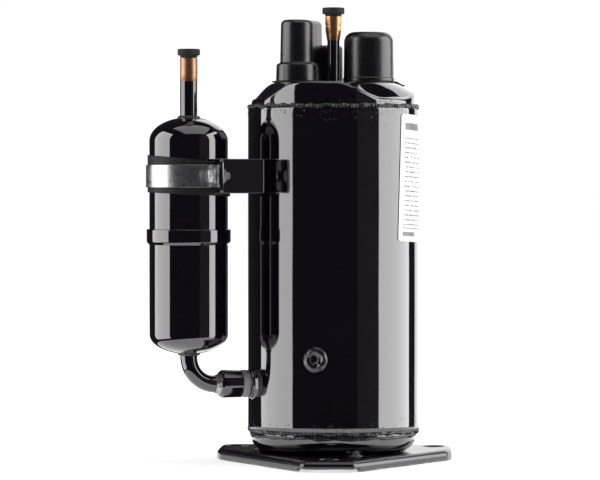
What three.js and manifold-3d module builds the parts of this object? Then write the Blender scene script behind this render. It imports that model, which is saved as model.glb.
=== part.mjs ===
// Hermetic rotary refrigeration compressor with its suction accumulator.
// Units are millimetres and +Z is up. The origin is where the shell's axis meets the underside
// of the mounting plate. The accumulator stands on the -X side.
import * as THREE from "three";
import { mergeVertices } from "three/addons/utils/BufferGeometryUtils.js";
import Module from "manifold-3d";

const wasm = await Module();
wasm.setup();

// ---------- driving dimensions ----------
const CLEARANCE = 0.3; // gap between neighbouring pieces
const RUNNING_GAP = 0.4; // above and below the eccentric, the roller and the vane
const ROUND = 32; // sides of a large round piece
const SMALL_ROUND = 16; // sides of a small round piece

const PLATE = { thickness: 2.8, lip: 8, lipWall: 2.6, turn: -110, holeR: 7.5, footPitchR: 85.5 };
const FRONT_FOOT = { reach: 103, halfWidth: 18.5 };
const SIDE_FOOT = { lipEndX: 84, lipEndY: -6, outerX: 87.5, backY: -62, cornerR: 13 };

const SHELL = { outerR: 63, wall: 2.5, bottom: 20, top: 255.5 };
const SHELL_INNER_R = SHELL.outerR - SHELL.wall;
const CAP = { wall: 3, skirt: 12, outerR: SHELL_INNER_R - CLEARANCE };
const TOP_CAP = { flatZ: 274.5, flatR: 46 };
const BOTTOM_CAP = { flatZ: PLATE.thickness + CLEARANCE, flatR: 46 };
const WELD_BEAD_R = 1.8;
const WELD_PROUD = 0.4; // how far a weld stands out of the shell

const DISCHARGE = {
  outerR: 4.5, boreR: 3.7, socketR: 6, socketBoreR: 5, bottom: 264, coneZ: 305, socketZ: 313, top: 323.5,
};
const PLUG_HEAD = { r: 8.2, height: 4.6 };

const ACC = { x: -110.8, outerR: 28.8, wall: 1.6, bottom: 75.4, lowerDomeZ: 89.8 };
const ACC_LAP = { bottom: 157, top: 167, outerR: 30.8 };
const ACC_TOP = { straightZ: 231.8, domeZ: 249 };
const STANDPIPE_TOP = 200;
const SCREEN_Z = 214;
const SUCTION = { outerR: 6.35, boreR: 5.35, insideZ: 240, top: 291.8 };

const ELBOW = { z: 53.5, bendR: 20, endX: -66 };
const SLEEVE = { startX: -88, endX: -71.7, outerR: 10.2 };
const BRAZE_RING = { endX: -65.6, outerR: 9.4 };
const COLLAR = { startX: -65.3, outerR: 10.6 };
const PORT_R = SUCTION.outerR + CLEARANCE;

const CLAMP = { z: 205.6, rubberH: 26, bandH: 16.4, bracketH: 25, sheet: 2.3 };
const CLAMP_RUBBER = { innerR: ACC.outerR + CLEARANCE, wall: 1 };
const CLAMP_BAND = { innerR: CLAMP_RUBBER.innerR + CLAMP_RUBBER.wall + CLEARANCE, wall: 0.9 };
const EAR = { x: 8, reach: 53, boltY: -41.5 };
const BRACKET_ARM_Y = 33.2;
const BOLT = { r: 3, headR: 5.2, headH: 4, washerR: 6.4, washerH: 1.2, length: 13 };

// The covers on the top cap, as [x, y] of each lobe's centre.
const COVER_BASE_Z = TOP_CAP.flatZ + CLEARANCE + 1 + CLEARANCE;
const TERMINAL_COVER = { front: [-26, 6.5], rear: [-13.5, 25], r: 12.4, top: 321, wall: 1.6 };
const LEAD_OUTLET = { end: [6, 22.5], r: 8.4, top: 303 };
const TERMINAL_SKIRT = { extra: 3.2, height: 12 };
const PROTECTOR_COVER = { centre: [27.5, 0], r: 18.7, top: 312.5, wall: 1.7, corner: 7 };
const TERMINAL = { centre: [-20, 15.5], bodyR: 10.5, pinCircleR: 5.4, pinR: 1.3 };

const PLUG_WELD = { z: 72.8, r: 4, headR: 8.4, headH: 1.3, angles: [240, 0, 120] };
const LABEL = { start: -59, end: 9, bottom: 156, top: 250.5, thickness: 0.25 };

// The pump: cylinder, bearings, roller and vane. Eccentricity sets the stroke.
const ECCENTRICITY = 4.2;
const CYLINDER = { boreR: 24, height: 27, midZ: ELBOW.z, outerR: SHELL_INNER_R - CLEARANCE };
const CYLINDER_BOTTOM = CYLINDER.midZ - CYLINDER.height / 2;
const CYLINDER_TOP = CYLINDER.midZ + CYLINDER.height / 2;
const VANE = { angle: 150, thickness: 3.2, length: 19.5, springR: 4 };
const REST_CRANK = 135; // degrees past the vane at rest
const ROLLER = { outerR: CYLINDER.boreR - ECCENTRICITY - 0.2, innerR: 14.3 };
const SHAFT = { r: 9, eccentricR: 14, bottom: 12, top: 178, oilBoreR: 2.6 };
const BEARING_BORE_R = SHAFT.r + CLEARANCE;
const MAIN_BEARING = { flangeH: 10, hubR: 15, hubTop: 94 };
const SUB_BEARING = { flangeR: 52, flangeH: 8, hubR: 14, hubBottom: 20 };
const PUMP_BOLT = { circleR: 46, r: 2.6, headR: 4.8, headH: 4, angles: [90, 210, 330] };
const DISCHARGE_PORT = { angle: 118, circleR: 20.5, r: 3 };
const REED = { width: 7, length: 22, thickness: 0.4, direction: 20 };
const MUFFLER = { wallR: 36, height: 14, wall: 1 };

// The motor: a slotted stator pressed in the shell and a squirrel-cage rotor on the shaft.
const MOTOR = { bottom: 112, top: 172, boreR: 31, slots: 18, slotDepth: 14, slotWidth: 5.2 };
const END_TURN = { innerR: 33, outerR: 50, height: 17 };
const ROTOR = { r: 30.3, ringInnerR: 18, ringOuterR: 29.3, ringH: 7 };
const BALANCE = { innerR: 11, outerR: 25, height: 7 };

const PAINT = { color: 0x0b0a0d, roughness: 0.12, metalness: 0.2 };
const STEEL = { color: 0x8d8f92, roughness: 0.4, metalness: 0.9 };
const GALVANISED = { color: 0xb9bcbe, roughness: 0.35, metalness: 0.9 };
const COPPER = { color: 0xc77b46, roughness: 0.3, metalness: 0.95 };
const WELD_METAL = { color: 0x17161a, roughness: 0.45, metalness: 0.4 };
const BRAZE = { color: 0x6a5560, roughness: 0.4, metalness: 0.7 };
const RUBBER = { color: 0x2b2b2c, roughness: 0.8, metalness: 0 };
const MOULDED = { color: 0x1b1b1c, roughness: 0.5, metalness: 0 };
const CAST_IRON = { color: 0x55565a, roughness: 0.6, metalness: 0.7 };
const ALUMINIUM = { color: 0xb4b6b8, roughness: 0.45, metalness: 0.9 };
const PAPER = { color: 0xf2f2f0, roughness: 0.5, metalness: 0 };
const WINDING = { color: 0x9c4a26, roughness: 0.4, metalness: 0.5 };

// ---------- solids ----------
const radians = THREE.MathUtils.degToRad;

function polar(r, angle) {
  return [r * Math.cos(radians(angle)), r * Math.sin(radians(angle))];
}

/** A three.js geometry as a manifold solid, with its faces turned outward. */
function toSolid(geometry) {
  const plain = (geometry.index ? geometry.toNonIndexed() : geometry).clone();
  plain.deleteAttribute("normal");
  plain.deleteAttribute("uv");
  const merged = mergeVertices(plain, 1e-4);
  const index = merged.index.array;
  const position = merged.attributes.position;
  const kept = [];
  let volume = 0;
  for (let i = 0; i < index.length; i += 3) {
    const [a, b, c] = [index[i], index[i + 1], index[i + 2]];
    if (a === b || b === c || c === a) continue;
    kept.push(a, b, c);
    const [p, q, r] = [a, b, c].map((k) => new THREE.Vector3().fromBufferAttribute(position, k));
    volume += p.dot(q.cross(r));
  }
  if (volume < 0) kept.reverse();
  const mesh = new wasm.Mesh({
    numProp: 3,
    vertProperties: new Float32Array(position.array),
    triVerts: new Uint32Array(kept),
  });
  return new wasm.Manifold(mesh);
}

/** A manifold solid as a three.js geometry. */
function toGeometry(solid) {
  const mesh = solid.getMesh();
  const geometry = new THREE.BufferGeometry();
  geometry.setAttribute("position", new THREE.BufferAttribute(mesh.vertProperties, 3));
  geometry.setIndex(new THREE.BufferAttribute(mesh.triVerts, 1));
  geometry.computeVertexNormals();
  return geometry;
}

/** Turns a closed outline of [radius, height] points about the Z axis, or about [x, y]. */
function revolve(outline, sides = ROUND, centre = [0, 0]) {
  const points = outline.map(([r, z]) => new THREE.Vector2(r, z));
  const geometry = new THREE.LatheGeometry([...points, points[0]], sides);
  geometry.rotateX(Math.PI / 2);
  geometry.translate(centre[0], centre[1], 0);
  return toSolid(geometry);
}

/** A ring of rectangular section, or a disc where innerR is 0. */
function ring(innerR, outerR, bottom, top, sides = ROUND, centre = [0, 0]) {
  return revolve([[innerR, bottom], [outerR, bottom], [outerR, top], [innerR, top]], sides, centre);
}

/** A ring lying along X, from x0 to x1, about the line at height z. */
function ringAlongX(innerR, outerR, x0, x1, z, sides = SMALL_ROUND, y = 0) {
  const geometry = new THREE.LatheGeometry(
    [[innerR, x0], [outerR, x0], [outerR, x1], [innerR, x1], [innerR, x0]]
      .map(([r, x]) => new THREE.Vector2(r, x)), sides);
  geometry.rotateZ(-Math.PI / 2);
  geometry.translate(0, y, z);
  return toSolid(geometry);
}

/** A flat outline in X and Y, made solid from bottom to top. */
function plate(shape, bottom, top, curveSegments = 12) {
  const geometry = new THREE.ExtrudeGeometry(shape, { depth: top - bottom, bevelEnabled: false, curveSegments });
  geometry.translate(0, 0, bottom);
  return toSolid(geometry);
}

/** A straight bar between two corners of its box, turned about Z. */
function bar(x0, x1, y0, y1, z0, z1, angle = 0) {
  const geometry = new THREE.BoxGeometry(x1 - x0, y1 - y0, z1 - z0);
  geometry.translate((x0 + x1) / 2, (y0 + y1) / 2, (z0 + z1) / 2);
  geometry.rotateZ(radians(angle));
  return toSolid(geometry);
}

/** A round rod or hole that runs outward from the axis at an angle, at height z. */
function radialRod(r, from, to, z, angle, sides = SMALL_ROUND) {
  const geometry = new THREE.CylinderGeometry(r, r, to - from, sides);
  geometry.rotateZ(Math.PI / 2);
  geometry.translate((from + to) / 2, 0, z);
  geometry.rotateZ(radians(angle));
  return toSolid(geometry);
}

/** A closed outline through the points, offset to both sides of a line by half the wall. */
function stripOutline(points, wall) {
  const sides = [[], []];
  points.forEach(([x, y], i) => {
    const [ax, ay] = points[Math.max(i - 1, 0)];
    const [bx, by] = points[Math.min(i + 1, points.length - 1)];
    const along = new THREE.Vector2(bx - ax, by - ay).normalize();
    [1, -1].forEach((side, k) => {
      sides[k].push(new THREE.Vector2(x - along.y * side * wall / 2, y + along.x * side * wall / 2));
    });
  });
  return new THREE.Shape([...sides[0], ...sides[1].reverse()]);
}

/** Points along an arc, as [x, y], about a centre. */
function arcPoints(centre, r, start, end, count) {
  return Array.from({ length: count + 1 }, (_, i) => {
    const [x, y] = polar(r, start + (end - start) * i / count);
    return [centre[0] + x, centre[1] + y];
  });
}

const group = new THREE.Group();

function addPiece(name, solid, finish) {
  const mesh = new THREE.Mesh(toGeometry(solid), new THREE.MeshStandardMaterial(finish));
  mesh.name = name;
  group.add(mesh);
}

// ---------- casing ----------

/** A pressed cap: skirt, rounded shoulder and flat. Height runs from the rim towards the flat. */
function capOutline(rimZ, flatZ, flatR) {
  const way = Math.sign(flatZ - rimZ);
  const cornerSteps = 4;
  const shell = (outerR, inset) => {
    const top = flatZ - way * inset;
    const rx = outerR - flatR;
    const rz = Math.min(rx, Math.abs(top - rimZ) - 1);
    const curve = Array.from({ length: cornerSteps + 1 }, (_, i) => {
      const t = (Math.PI / 2) * i / cornerSteps;
      return [flatR + rx * Math.cos(t), top - way * rz * (1 - Math.sin(t))];
    });
    return curve;
  };
  const outer = shell(CAP.outerR, 0);
  const inner = shell(CAP.outerR - CAP.wall, CAP.wall);
  const tip = [[0, flatZ], [0, flatZ - way * CAP.wall]];
  return [[CAP.outerR - CAP.wall, rimZ], [CAP.outerR, rimZ], ...outer, ...tip, ...inner.reverse()];
}

function buildCasing() {
  let shell = ring(SHELL_INNER_R, SHELL.outerR, SHELL.bottom, SHELL.top);
  shell = shell.subtract(radialRod(PORT_R, SHELL_INNER_R - 5, SHELL.outerR + 5, ELBOW.z, 180));
  for (const angle of PLUG_WELD.angles) {
    const hole = radialRod(PLUG_WELD.r + CLEARANCE, SHELL_INNER_R - 5, SHELL.outerR + 5, PLUG_WELD.z, angle);
    shell = shell.subtract(hole);
  }
  addPiece("casing_shell", shell, PAINT);

  const terminalHole = ring(0, TERMINAL.bodyR + CLEARANCE, TOP_CAP.flatZ - 8, TOP_CAP.flatZ + 8,
    SMALL_ROUND, TERMINAL.centre);
  const tubeHole = ring(0, DISCHARGE.outerR + CLEARANCE, TOP_CAP.flatZ - 8, TOP_CAP.flatZ + 8, SMALL_ROUND);
  const topCap = revolve(capOutline(SHELL.top - CAP.skirt, TOP_CAP.flatZ, TOP_CAP.flatR))
    .subtract(terminalHole).subtract(tubeHole);
  addPiece("top_cap", topCap, PAINT);
  addPiece("bottom_cap",
    revolve(capOutline(SHELL.bottom + CAP.skirt, BOTTOM_CAP.flatZ, BOTTOM_CAP.flatR)), PAINT);

  const beads = [["top_weld_bead", SHELL.top, 1], ["bottom_weld_bead", SHELL.bottom, -1]];
  for (const [name, z, way] of beads) {
    const innerR = CAP.outerR + CLEARANCE;
    const base = z + way * CLEARANCE;
    const reach = SHELL.outerR + WELD_PROUD - innerR;
    const section = [[innerR, base], [innerR + reach, base]];
    for (let i = 1; i < 3; i += 1) {
      const t = (Math.PI / 2) * i / 3;
      section.push([innerR + reach * Math.cos(t), base + way * 2 * WELD_BEAD_R * Math.sin(t)]);
    }
    section.push([innerR, base + way * 2 * WELD_BEAD_R]);
    addPiece(name, revolve(section), WELD_METAL);
  }

  PLUG_WELD.angles.forEach((angle, i) => {
    const stem = radialRod(PLUG_WELD.r, SHELL_INNER_R + CLEARANCE, SHELL.outerR + 1, PLUG_WELD.z, angle);
    const head = radialRod(PLUG_WELD.headR, SHELL.outerR - 2, SHELL.outerR + PLUG_WELD.headH, PLUG_WELD.z, angle)
      .subtract(ring(0, SHELL.outerR + CLEARANCE, PLUG_WELD.z - 20, PLUG_WELD.z + 20));
    addPiece(`plug_weld_${i + 1}`, stem.add(head), WELD_METAL);
  });
}

// ---------- mounting plate ----------
function buildMountingPlate() {
  const { reach, halfWidth } = FRONT_FOOT;
  const { lipEndX, lipEndY, outerX, backY, cornerR } = SIDE_FOOT;
  // The outline is drawn with the front foot along +Y, then turned to its place.
  const outline = new THREE.Shape();
  outline.moveTo(-halfWidth, reach);
  outline.lineTo(-lipEndX, lipEndY);
  outline.quadraticCurveTo(-outerX, lipEndY - cornerR, -outerX, lipEndY - 2 * cornerR);
  outline.lineTo(-outerX, backY + cornerR);
  outline.quadraticCurveTo(-outerX, backY, -outerX + cornerR, backY);
  outline.lineTo(outerX - cornerR, backY);
  outline.quadraticCurveTo(outerX, backY, outerX, backY + cornerR);
  outline.lineTo(outerX, lipEndY - 2 * cornerR);
  outline.quadraticCurveTo(outerX, lipEndY - cornerR, lipEndX, lipEndY);
  outline.lineTo(halfWidth, reach);
  let solid = plate(outline, 0, PLATE.thickness, 5);
  const lipBottom = PLATE.thickness - PLATE.lip;
  const lip = (ax, ay, bx, by, inset, bottom) => {
    const length = Math.hypot(bx - ax, by - ay);
    const geometry = new THREE.BoxGeometry(length, PLATE.lipWall, PLATE.thickness - bottom);
    geometry.translate(0, -PLATE.lipWall / 2 - inset, (PLATE.thickness + bottom) / 2);
    geometry.rotateZ(Math.atan2(by - ay, bx - ax));
    geometry.translate((ax + bx) / 2, (ay + by) / 2, 0);
    return toSolid(geometry);
  };
  solid = solid
    .add(lip(-lipEndX, lipEndY, -halfWidth, reach, 0, lipBottom))
    .add(lip(halfWidth, reach, lipEndX, lipEndY, 0, lipBottom))
    .add(lip(-halfWidth + 2, reach, halfWidth - 2, reach, 0.4, lipBottom + 1))
    .add(lip(outerX - cornerR, backY, -outerX + cornerR, backY, 0, lipBottom));
  for (const angle of [90, 210, 330]) {
    const hole = ring(0, PLATE.holeR, -10, 10, SMALL_ROUND + 6, polar(PLATE.footPitchR, angle));
    solid = solid.subtract(hole);
  }
  addPiece("mounting_plate", solid.rotate([0, 0, PLATE.turn + 360 - 90]), PAINT);
}

// ---------- pipes and their plugs ----------
function rubberPlug(stemR, topZ, centre) {
  const stemTop = topZ + CLEARANCE;
  const neckH = 1.6;
  return revolve([
    [0, topZ - 9], [stemR - 0.8, topZ - 9], [stemR, topZ - 7], [stemR, stemTop], [stemR + 1.4, stemTop],
    [stemR + 1.4, stemTop + neckH], [PLUG_HEAD.r, stemTop + neckH],
    [PLUG_HEAD.r, stemTop + neckH + PLUG_HEAD.height], [0, stemTop + neckH + PLUG_HEAD.height],
  ], SMALL_ROUND, centre);
}

function buildPipes() {
  const { outerR, boreR, socketR, socketBoreR, bottom, coneZ, socketZ, top } = DISCHARGE;
  addPiece("discharge_tube", revolve([
    [boreR, bottom], [outerR, bottom], [outerR, coneZ], [socketR, socketZ], [socketR, top],
    [socketBoreR, top], [socketBoreR, socketZ + 0.5], [boreR, coneZ + 1],
  ], SMALL_ROUND), COPPER);
  addPiece("discharge_plug", rubberPlug(socketBoreR - CLEARANCE, top, [0, 0]), RUBBER);

  const inlet = [ACC.x, 0];
  const suctionTube = ring(SUCTION.boreR, SUCTION.outerR, SUCTION.insideZ, SUCTION.top, SMALL_ROUND, inlet);
  addPiece("suction_tube", suctionTube, COPPER);
  addPiece("suction_plug", rubberPlug(SUCTION.boreR - CLEARANCE, SUCTION.top, inlet), RUBBER);

  const start = new THREE.Vector3(ACC.x, 0, ACC.bottom + 1);
  const bendStart = new THREE.Vector3(ACC.x, 0, ELBOW.z + ELBOW.bendR);
  const bendEnd = new THREE.Vector3(ACC.x + ELBOW.bendR, 0, ELBOW.z);
  const end = new THREE.Vector3(ELBOW.endX, 0, ELBOW.z);
  const circleHandle = 0.5523 * ELBOW.bendR; // a cubic with these handles follows a quarter circle
  const route = new THREE.CurvePath();
  route.add(new THREE.LineCurve3(start, bendStart));
  route.add(new THREE.CubicBezierCurve3(
    bendStart,
    new THREE.Vector3(ACC.x, 0, bendStart.z - circleHandle),
    new THREE.Vector3(bendEnd.x - circleHandle, 0, ELBOW.z),
    bendEnd));
  route.add(new THREE.LineCurve3(bendEnd, end));
  const section = new THREE.Shape();
  section.absarc(0, 0, SUCTION.outerR, 0, 2 * Math.PI);
  const bore = new THREE.Path();
  bore.absarc(0, 0, SUCTION.boreR, 0, 2 * Math.PI);
  section.holes.push(bore);
  const elbow = new THREE.ExtrudeGeometry(section, { steps: 15, extrudePath: route, curveSegments: 6 });
  addPiece("suction_elbow", toSolid(elbow), PAINT);

  addPiece("suction_sleeve", ringAlongX(PORT_R, SLEEVE.outerR, SLEEVE.startX, SLEEVE.endX, ELBOW.z, 24), PAINT);
  addPiece("suction_braze_ring",
    ringAlongX(PORT_R, BRAZE_RING.outerR, SLEEVE.endX + CLEARANCE, BRAZE_RING.endX, ELBOW.z, 24), BRAZE);
  const collar = ringAlongX(PORT_R, COLLAR.outerR, COLLAR.startX, -SHELL_INNER_R, ELBOW.z, 24)
    .subtract(ring(0, SHELL.outerR + CLEARANCE, ELBOW.z - 30, ELBOW.z + 30));
  addPiece("shell_collar", collar, PAINT);
  addPiece("inner_suction_pipe",
    ringAlongX(SUCTION.boreR, SUCTION.outerR, ELBOW.endX + CLEARANCE, -CYLINDER.boreR - 2, ELBOW.z), COPPER);
}

// ---------- accumulator ----------

/** Points of a quarter ellipse from the wall at z0 to the neck radius, rising by height. */
function domePoints(r, neckR, z0, height, steps = 4) {
  const end = Math.acos(neckR / r);
  return Array.from({ length: steps + 1 }, (_, i) => {
    const t = end * i / steps;
    return [r * Math.cos(t), z0 + height * Math.sin(t)];
  });
}

function buildAccumulator() {
  const centre = [ACC.x, 0];
  const neckR = SUCTION.outerR + CLEARANCE;
  const innerR = ACC.outerR - ACC.wall;
  const upperRimZ = ACC_LAP.bottom + 2;
  const topRise = ACC_TOP.domeZ - ACC_TOP.straightZ;
  addPiece("accumulator_upper_shell", revolve([
    [innerR, upperRimZ], [ACC.outerR, upperRimZ],
    ...domePoints(ACC.outerR, neckR, ACC_TOP.straightZ, topRise),
    ...domePoints(innerR, neckR, ACC_TOP.straightZ, topRise - ACC.wall).reverse(),
  ], ROUND, centre), PAINT);

  const drop = ACC.bottom - ACC.lowerDomeZ;
  const lapInnerR = ACC.outerR + CLEARANCE;
  addPiece("accumulator_lower_shell", revolve([
    [lapInnerR, ACC_LAP.top], [ACC_LAP.outerR, ACC_LAP.top], [ACC_LAP.outerR, ACC_LAP.bottom + 1],
    [ACC.outerR, ACC_LAP.bottom - 1],
    ...domePoints(ACC.outerR, neckR, ACC.lowerDomeZ, drop),
    ...domePoints(innerR, neckR, ACC.lowerDomeZ, drop + ACC.wall).reverse(),
    [innerR, ACC_LAP.bottom - 1.5], [lapInnerR, ACC_LAP.bottom],
  ], ROUND, centre), PAINT);

  const pipeBottom = ACC.bottom + 1 + CLEARANCE;
  addPiece("accumulator_standpipe",
    ring(SUCTION.boreR, SUCTION.outerR, pipeBottom, STANDPIPE_TOP, SMALL_ROUND, centre), STEEL);
  addPiece("accumulator_screen", revolve([
    [0, SCREEN_Z + 5], [innerR - 6, SCREEN_Z + 5], [innerR - 4, SCREEN_Z], [innerR - CLEARANCE, SCREEN_Z],
    [innerR - CLEARANCE, SCREEN_Z + 6], [innerR - 1, SCREEN_Z + 6], [innerR - 1, SCREEN_Z + 1],
    [innerR - 3.4, SCREEN_Z + 1], [innerR - 5.4, SCREEN_Z + 6], [0, SCREEN_Z + 6],
  ], 28, centre), STEEL);
}

// ---------- clamp that holds the accumulator to the shell ----------
function buildClamp() {
  const { z, rubberH, bandH, bracketH, sheet } = CLAMP;
  const acc = [ACC.x, 0];
  const earX = ACC.x + EAR.x;
  const rubberR = CLAMP_RUBBER.innerR;
  addPiece("clamp_rubber",
    ring(rubberR, rubberR + CLAMP_RUBBER.wall, z - rubberH / 2, z + rubberH / 2, ROUND, acc), RUBBER);

  // The band runs round the accumulator's far side and turns out into an ear at each end.
  const bandR = CLAMP_BAND.innerR + CLAMP_BAND.wall / 2;
  const leave = THREE.MathUtils.radToDeg(Math.asin(EAR.x / bandR));
  const around = arcPoints(acc, bandR, 90 - leave + 4, 270 + leave - 4, 26);
  const farEarY = EAR.reach - 8;
  const earY = bandR + 2;
  const bandRun = [
    [earX, farEarY], [earX, earY + 1], [earX - 1, earY - 0.6], ...around,
    [earX - 1, -earY + 0.6], [earX, -earY - 1], [earX, -EAR.reach + 1],
  ];
  let band = plate(stripOutline(bandRun, CLAMP_BAND.wall), z - bandH / 2, z + bandH / 2, 1);
  const boltHole = ringAlongX(0, BOLT.r + CLEARANCE, earX - 6, earX + 12, z, SMALL_ROUND, EAR.boltY);
  band = band.subtract(boltHole);
  addPiece("clamp_band", band, GALVANISED);

  // The bracket is a hat in plan: a foot on the shell, two arms, and an ear on each arm.
  const bracketEarX = earX + CLAMP_BAND.wall / 2 + CLEARANCE + sheet / 2;
  const footR = SHELL.outerR + CLEARANCE + sheet / 2;
  const footHalf = 24;
  const foot = arcPoints([0, 0], footR, 180 - footHalf, 180 + footHalf, 10);
  const [footX, footY] = foot[0];
  const armRun = (side) => [
    [bracketEarX, side * EAR.reach], [bracketEarX, side * (BRACKET_ARM_Y + 1.5)],
    [bracketEarX + 1.5, side * BRACKET_ARM_Y], [footX - 4, side * (footY + 3)],
  ];
  const bracketRun = [...armRun(1), ...foot, ...armRun(-1).reverse()];
  let bracket = plate(stripOutline(bracketRun, sheet), z - bracketH / 2, z + bracketH / 2, 1);
  const nutX = bracketEarX + sheet / 2;
  const weldedNut = ringAlongX(0, BOLT.headR, nutX - 1, nutX + 5, z, 6, EAR.boltY);
  bracket = bracket.add(weldedNut).subtract(boltHole);
  addPiece("clamp_bracket", bracket, PAINT);

  const washerX = earX - CLAMP_BAND.wall / 2 - CLEARANCE;
  addPiece("clamp_washer",
    ringAlongX(BOLT.r + CLEARANCE, BOLT.washerR, washerX - BOLT.washerH, washerX, z, 24, EAR.boltY), STEEL);
  const headX = washerX - BOLT.washerH - CLEARANCE;
  const head = ringAlongX(0, BOLT.headR, headX - BOLT.headH, headX, z, 6, EAR.boltY);
  const shank = ringAlongX(0, BOLT.r, headX - 1, headX + BOLT.length, z, SMALL_ROUND, EAR.boltY);
  addPiece("clamp_bolt", head.add(shank), STEEL);
}

// ---------- electrical covers and what they hold ----------

/** An upright pill between two centres, with a bevelled top, from bottom to top. */
function pill(a, b, r, bottom, top, bevel) {
  const angle = Math.atan2(b[1] - a[1], b[0] - a[0]);
  const shape = new THREE.Shape();
  shape.absarc(a[0], a[1], r - bevel, angle + Math.PI / 2, angle + 1.5 * Math.PI);
  shape.absarc(b[0], b[1], r - bevel, angle - Math.PI / 2, angle + Math.PI / 2);
  shape.closePath();
  const geometry = new THREE.ExtrudeGeometry(shape, {
    depth: top - bottom - bevel,
    bevelEnabled: bevel > 0,
    bevelSize: bevel,
    bevelThickness: bevel,
    bevelSegments: 2,
    curveSegments: 7,
  });
  geometry.translate(0, 0, bottom);
  const solid = toSolid(geometry);
  const below = bar(-90, 90, -90, 90, bottom - 20, bottom);
  return bevel > 0 ? solid.subtract(below) : solid;
}

function buildCovers() {
  const { front, rear, r, top, wall } = TERMINAL_COVER;
  const skirtR = r + TERMINAL_SKIRT.extra;
  const skirtTop = COVER_BASE_Z + TERMINAL_SKIRT.height;
  const hollow = (a, b, outer, high, bevel) =>
    pill(a, b, outer - wall, COVER_BASE_Z - 2, high - wall, bevel);
  const outside = pill(front, rear, r, COVER_BASE_Z, top, 3)
    .add(pill(rear, LEAD_OUTLET.end, LEAD_OUTLET.r, COVER_BASE_Z, LEAD_OUTLET.top, 3))
    .add(pill(front, rear, skirtR, COVER_BASE_Z, skirtTop, 0));
  const inside = hollow(front, rear, r, top, 2)
    .add(hollow(rear, LEAD_OUTLET.end, LEAD_OUTLET.r, LEAD_OUTLET.top, 2))
    .add(pill(front, rear, skirtR - wall, COVER_BASE_Z - 2, skirtTop - wall, 0));
  addPiece("terminal_cover", outside.subtract(inside), MOULDED);

  const tubeRelief = ring(0, DISCHARGE.outerR + 1.5, TOP_CAP.flatZ - 5, COVER_BASE_Z + 5, SMALL_ROUND);
  const gasketBase = TOP_CAP.flatZ + CLEARANCE;
  const gasket = pill(front, rear, skirtR + 3, gasketBase, gasketBase + 1, 0)
    .add(pill(rear, LEAD_OUTLET.end, LEAD_OUTLET.r + 2, gasketBase, gasketBase + 1, 0))
    .subtract(ring(0, TERMINAL.bodyR + 2, gasketBase - 2, gasketBase + 3, SMALL_ROUND, TERMINAL.centre))
    .subtract(ring(0, PROTECTOR_COVER.r + 1, gasketBase - 2, gasketBase + 3, ROUND, PROTECTOR_COVER.centre))
    .subtract(tubeRelief);
  addPiece("terminal_gasket", gasket, RUBBER);

  const p = PROTECTOR_COVER;
  const corner = (radius, high, bend) => Array.from({ length: 4 }, (_, i) => {
    const t = (Math.PI / 2) * i / 3;
    return [radius - bend * (1 - Math.cos(t)), high - bend * (1 - Math.sin(t))];
  });
  addPiece("protector_cover", revolve([
    [p.r, COVER_BASE_Z], ...corner(p.r, p.top, p.corner), [0, p.top], [0, p.top - p.wall],
    ...corner(p.r - p.wall, p.top - p.wall, p.corner - 1).reverse(), [p.r - p.wall, COVER_BASE_Z],
  ], 32, p.centre), MOULDED);
  const gasketR = p.r + 0.7;
  const tab = bar(p.centre[0] + 5, p.centre[0] + p.r + 5.5, -9, 9, gasketBase, gasketBase + 1);
  addPiece("protector_gasket",
    ring(0, gasketR, gasketBase, gasketBase + 1, 32, p.centre).add(tab).subtract(tubeRelief), RUBBER);

  // The hermetic terminal: a steel body sealed in the top cap, with three pins through it.
  const c = TERMINAL.centre;
  const pinPlaces = [90, 210, 330].map((angle) => {
    const [x, y] = polar(TERMINAL.pinCircleR, angle);
    return [c[0] + x, c[1] + y];
  });
  let body = ring(0, TERMINAL.bodyR, TOP_CAP.flatZ - 5, TOP_CAP.flatZ + 4, SMALL_ROUND + 6, c);
  for (const place of pinPlaces) {
    body = body.subtract(ring(0, TERMINAL.pinR + CLEARANCE, TOP_CAP.flatZ - 10, TOP_CAP.flatZ + 10, 12, place));
  }
  addPiece("terminal_body", body, STEEL);
  pinPlaces.forEach((place, i) => {
    const pin = ring(0, TERMINAL.pinR, TOP_CAP.flatZ - 16, TOP_CAP.flatZ + 15, 12, place);
    addPiece(`terminal_pin_${i + 1}`, pin, STEEL);
  });

  const protectorBase = gasketBase + 1 + CLEARANCE;
  addPiece("overload_protector", revolve([
    [0, protectorBase], [14.5, protectorBase], [14.5, protectorBase + 12], [12.5, protectorBase + 15],
    [12.5, protectorBase + 19], [0, protectorBase + 19],
  ], 28, p.centre), MOULDED);
  // A bowed leaf spring presses the protector down from inside the cover.
  const springZ = protectorBase + 19 + CLEARANCE;
  const leaf = stripOutline([[-11, 0.6], [-6, 2.2], [0, 10], [6, 2.2], [11, 0.6]], 0.6);
  const spring = new THREE.ExtrudeGeometry(leaf, { depth: 7, bevelEnabled: false });
  spring.translate(0, 0, -3.5);
  spring.rotateX(Math.PI / 2);
  spring.translate(p.centre[0], p.centre[1], springZ);
  addPiece("protector_spring", toSolid(spring), STEEL);
}

// ---------- name label ----------
function buildLabel() {
  const innerR = SHELL.outerR + CLEARANCE;
  const outline = new THREE.Shape();
  outline.absarc(0, 0, innerR + LABEL.thickness, radians(LABEL.start), radians(LABEL.end), false);
  outline.absarc(0, 0, innerR, radians(LABEL.end), radians(LABEL.start), true);
  outline.closePath();
  addPiece("name_label", plate(outline, LABEL.bottom, LABEL.top, 14), PAPER);
}

// ---------- pump ----------
function holesAt(angles, circleR, r, bottom, top) {
  return angles
    .map((angle) => ring(0, r, bottom, top, 12, polar(circleR, angle)))
    .reduce((all, hole) => all.add(hole));
}

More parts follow.
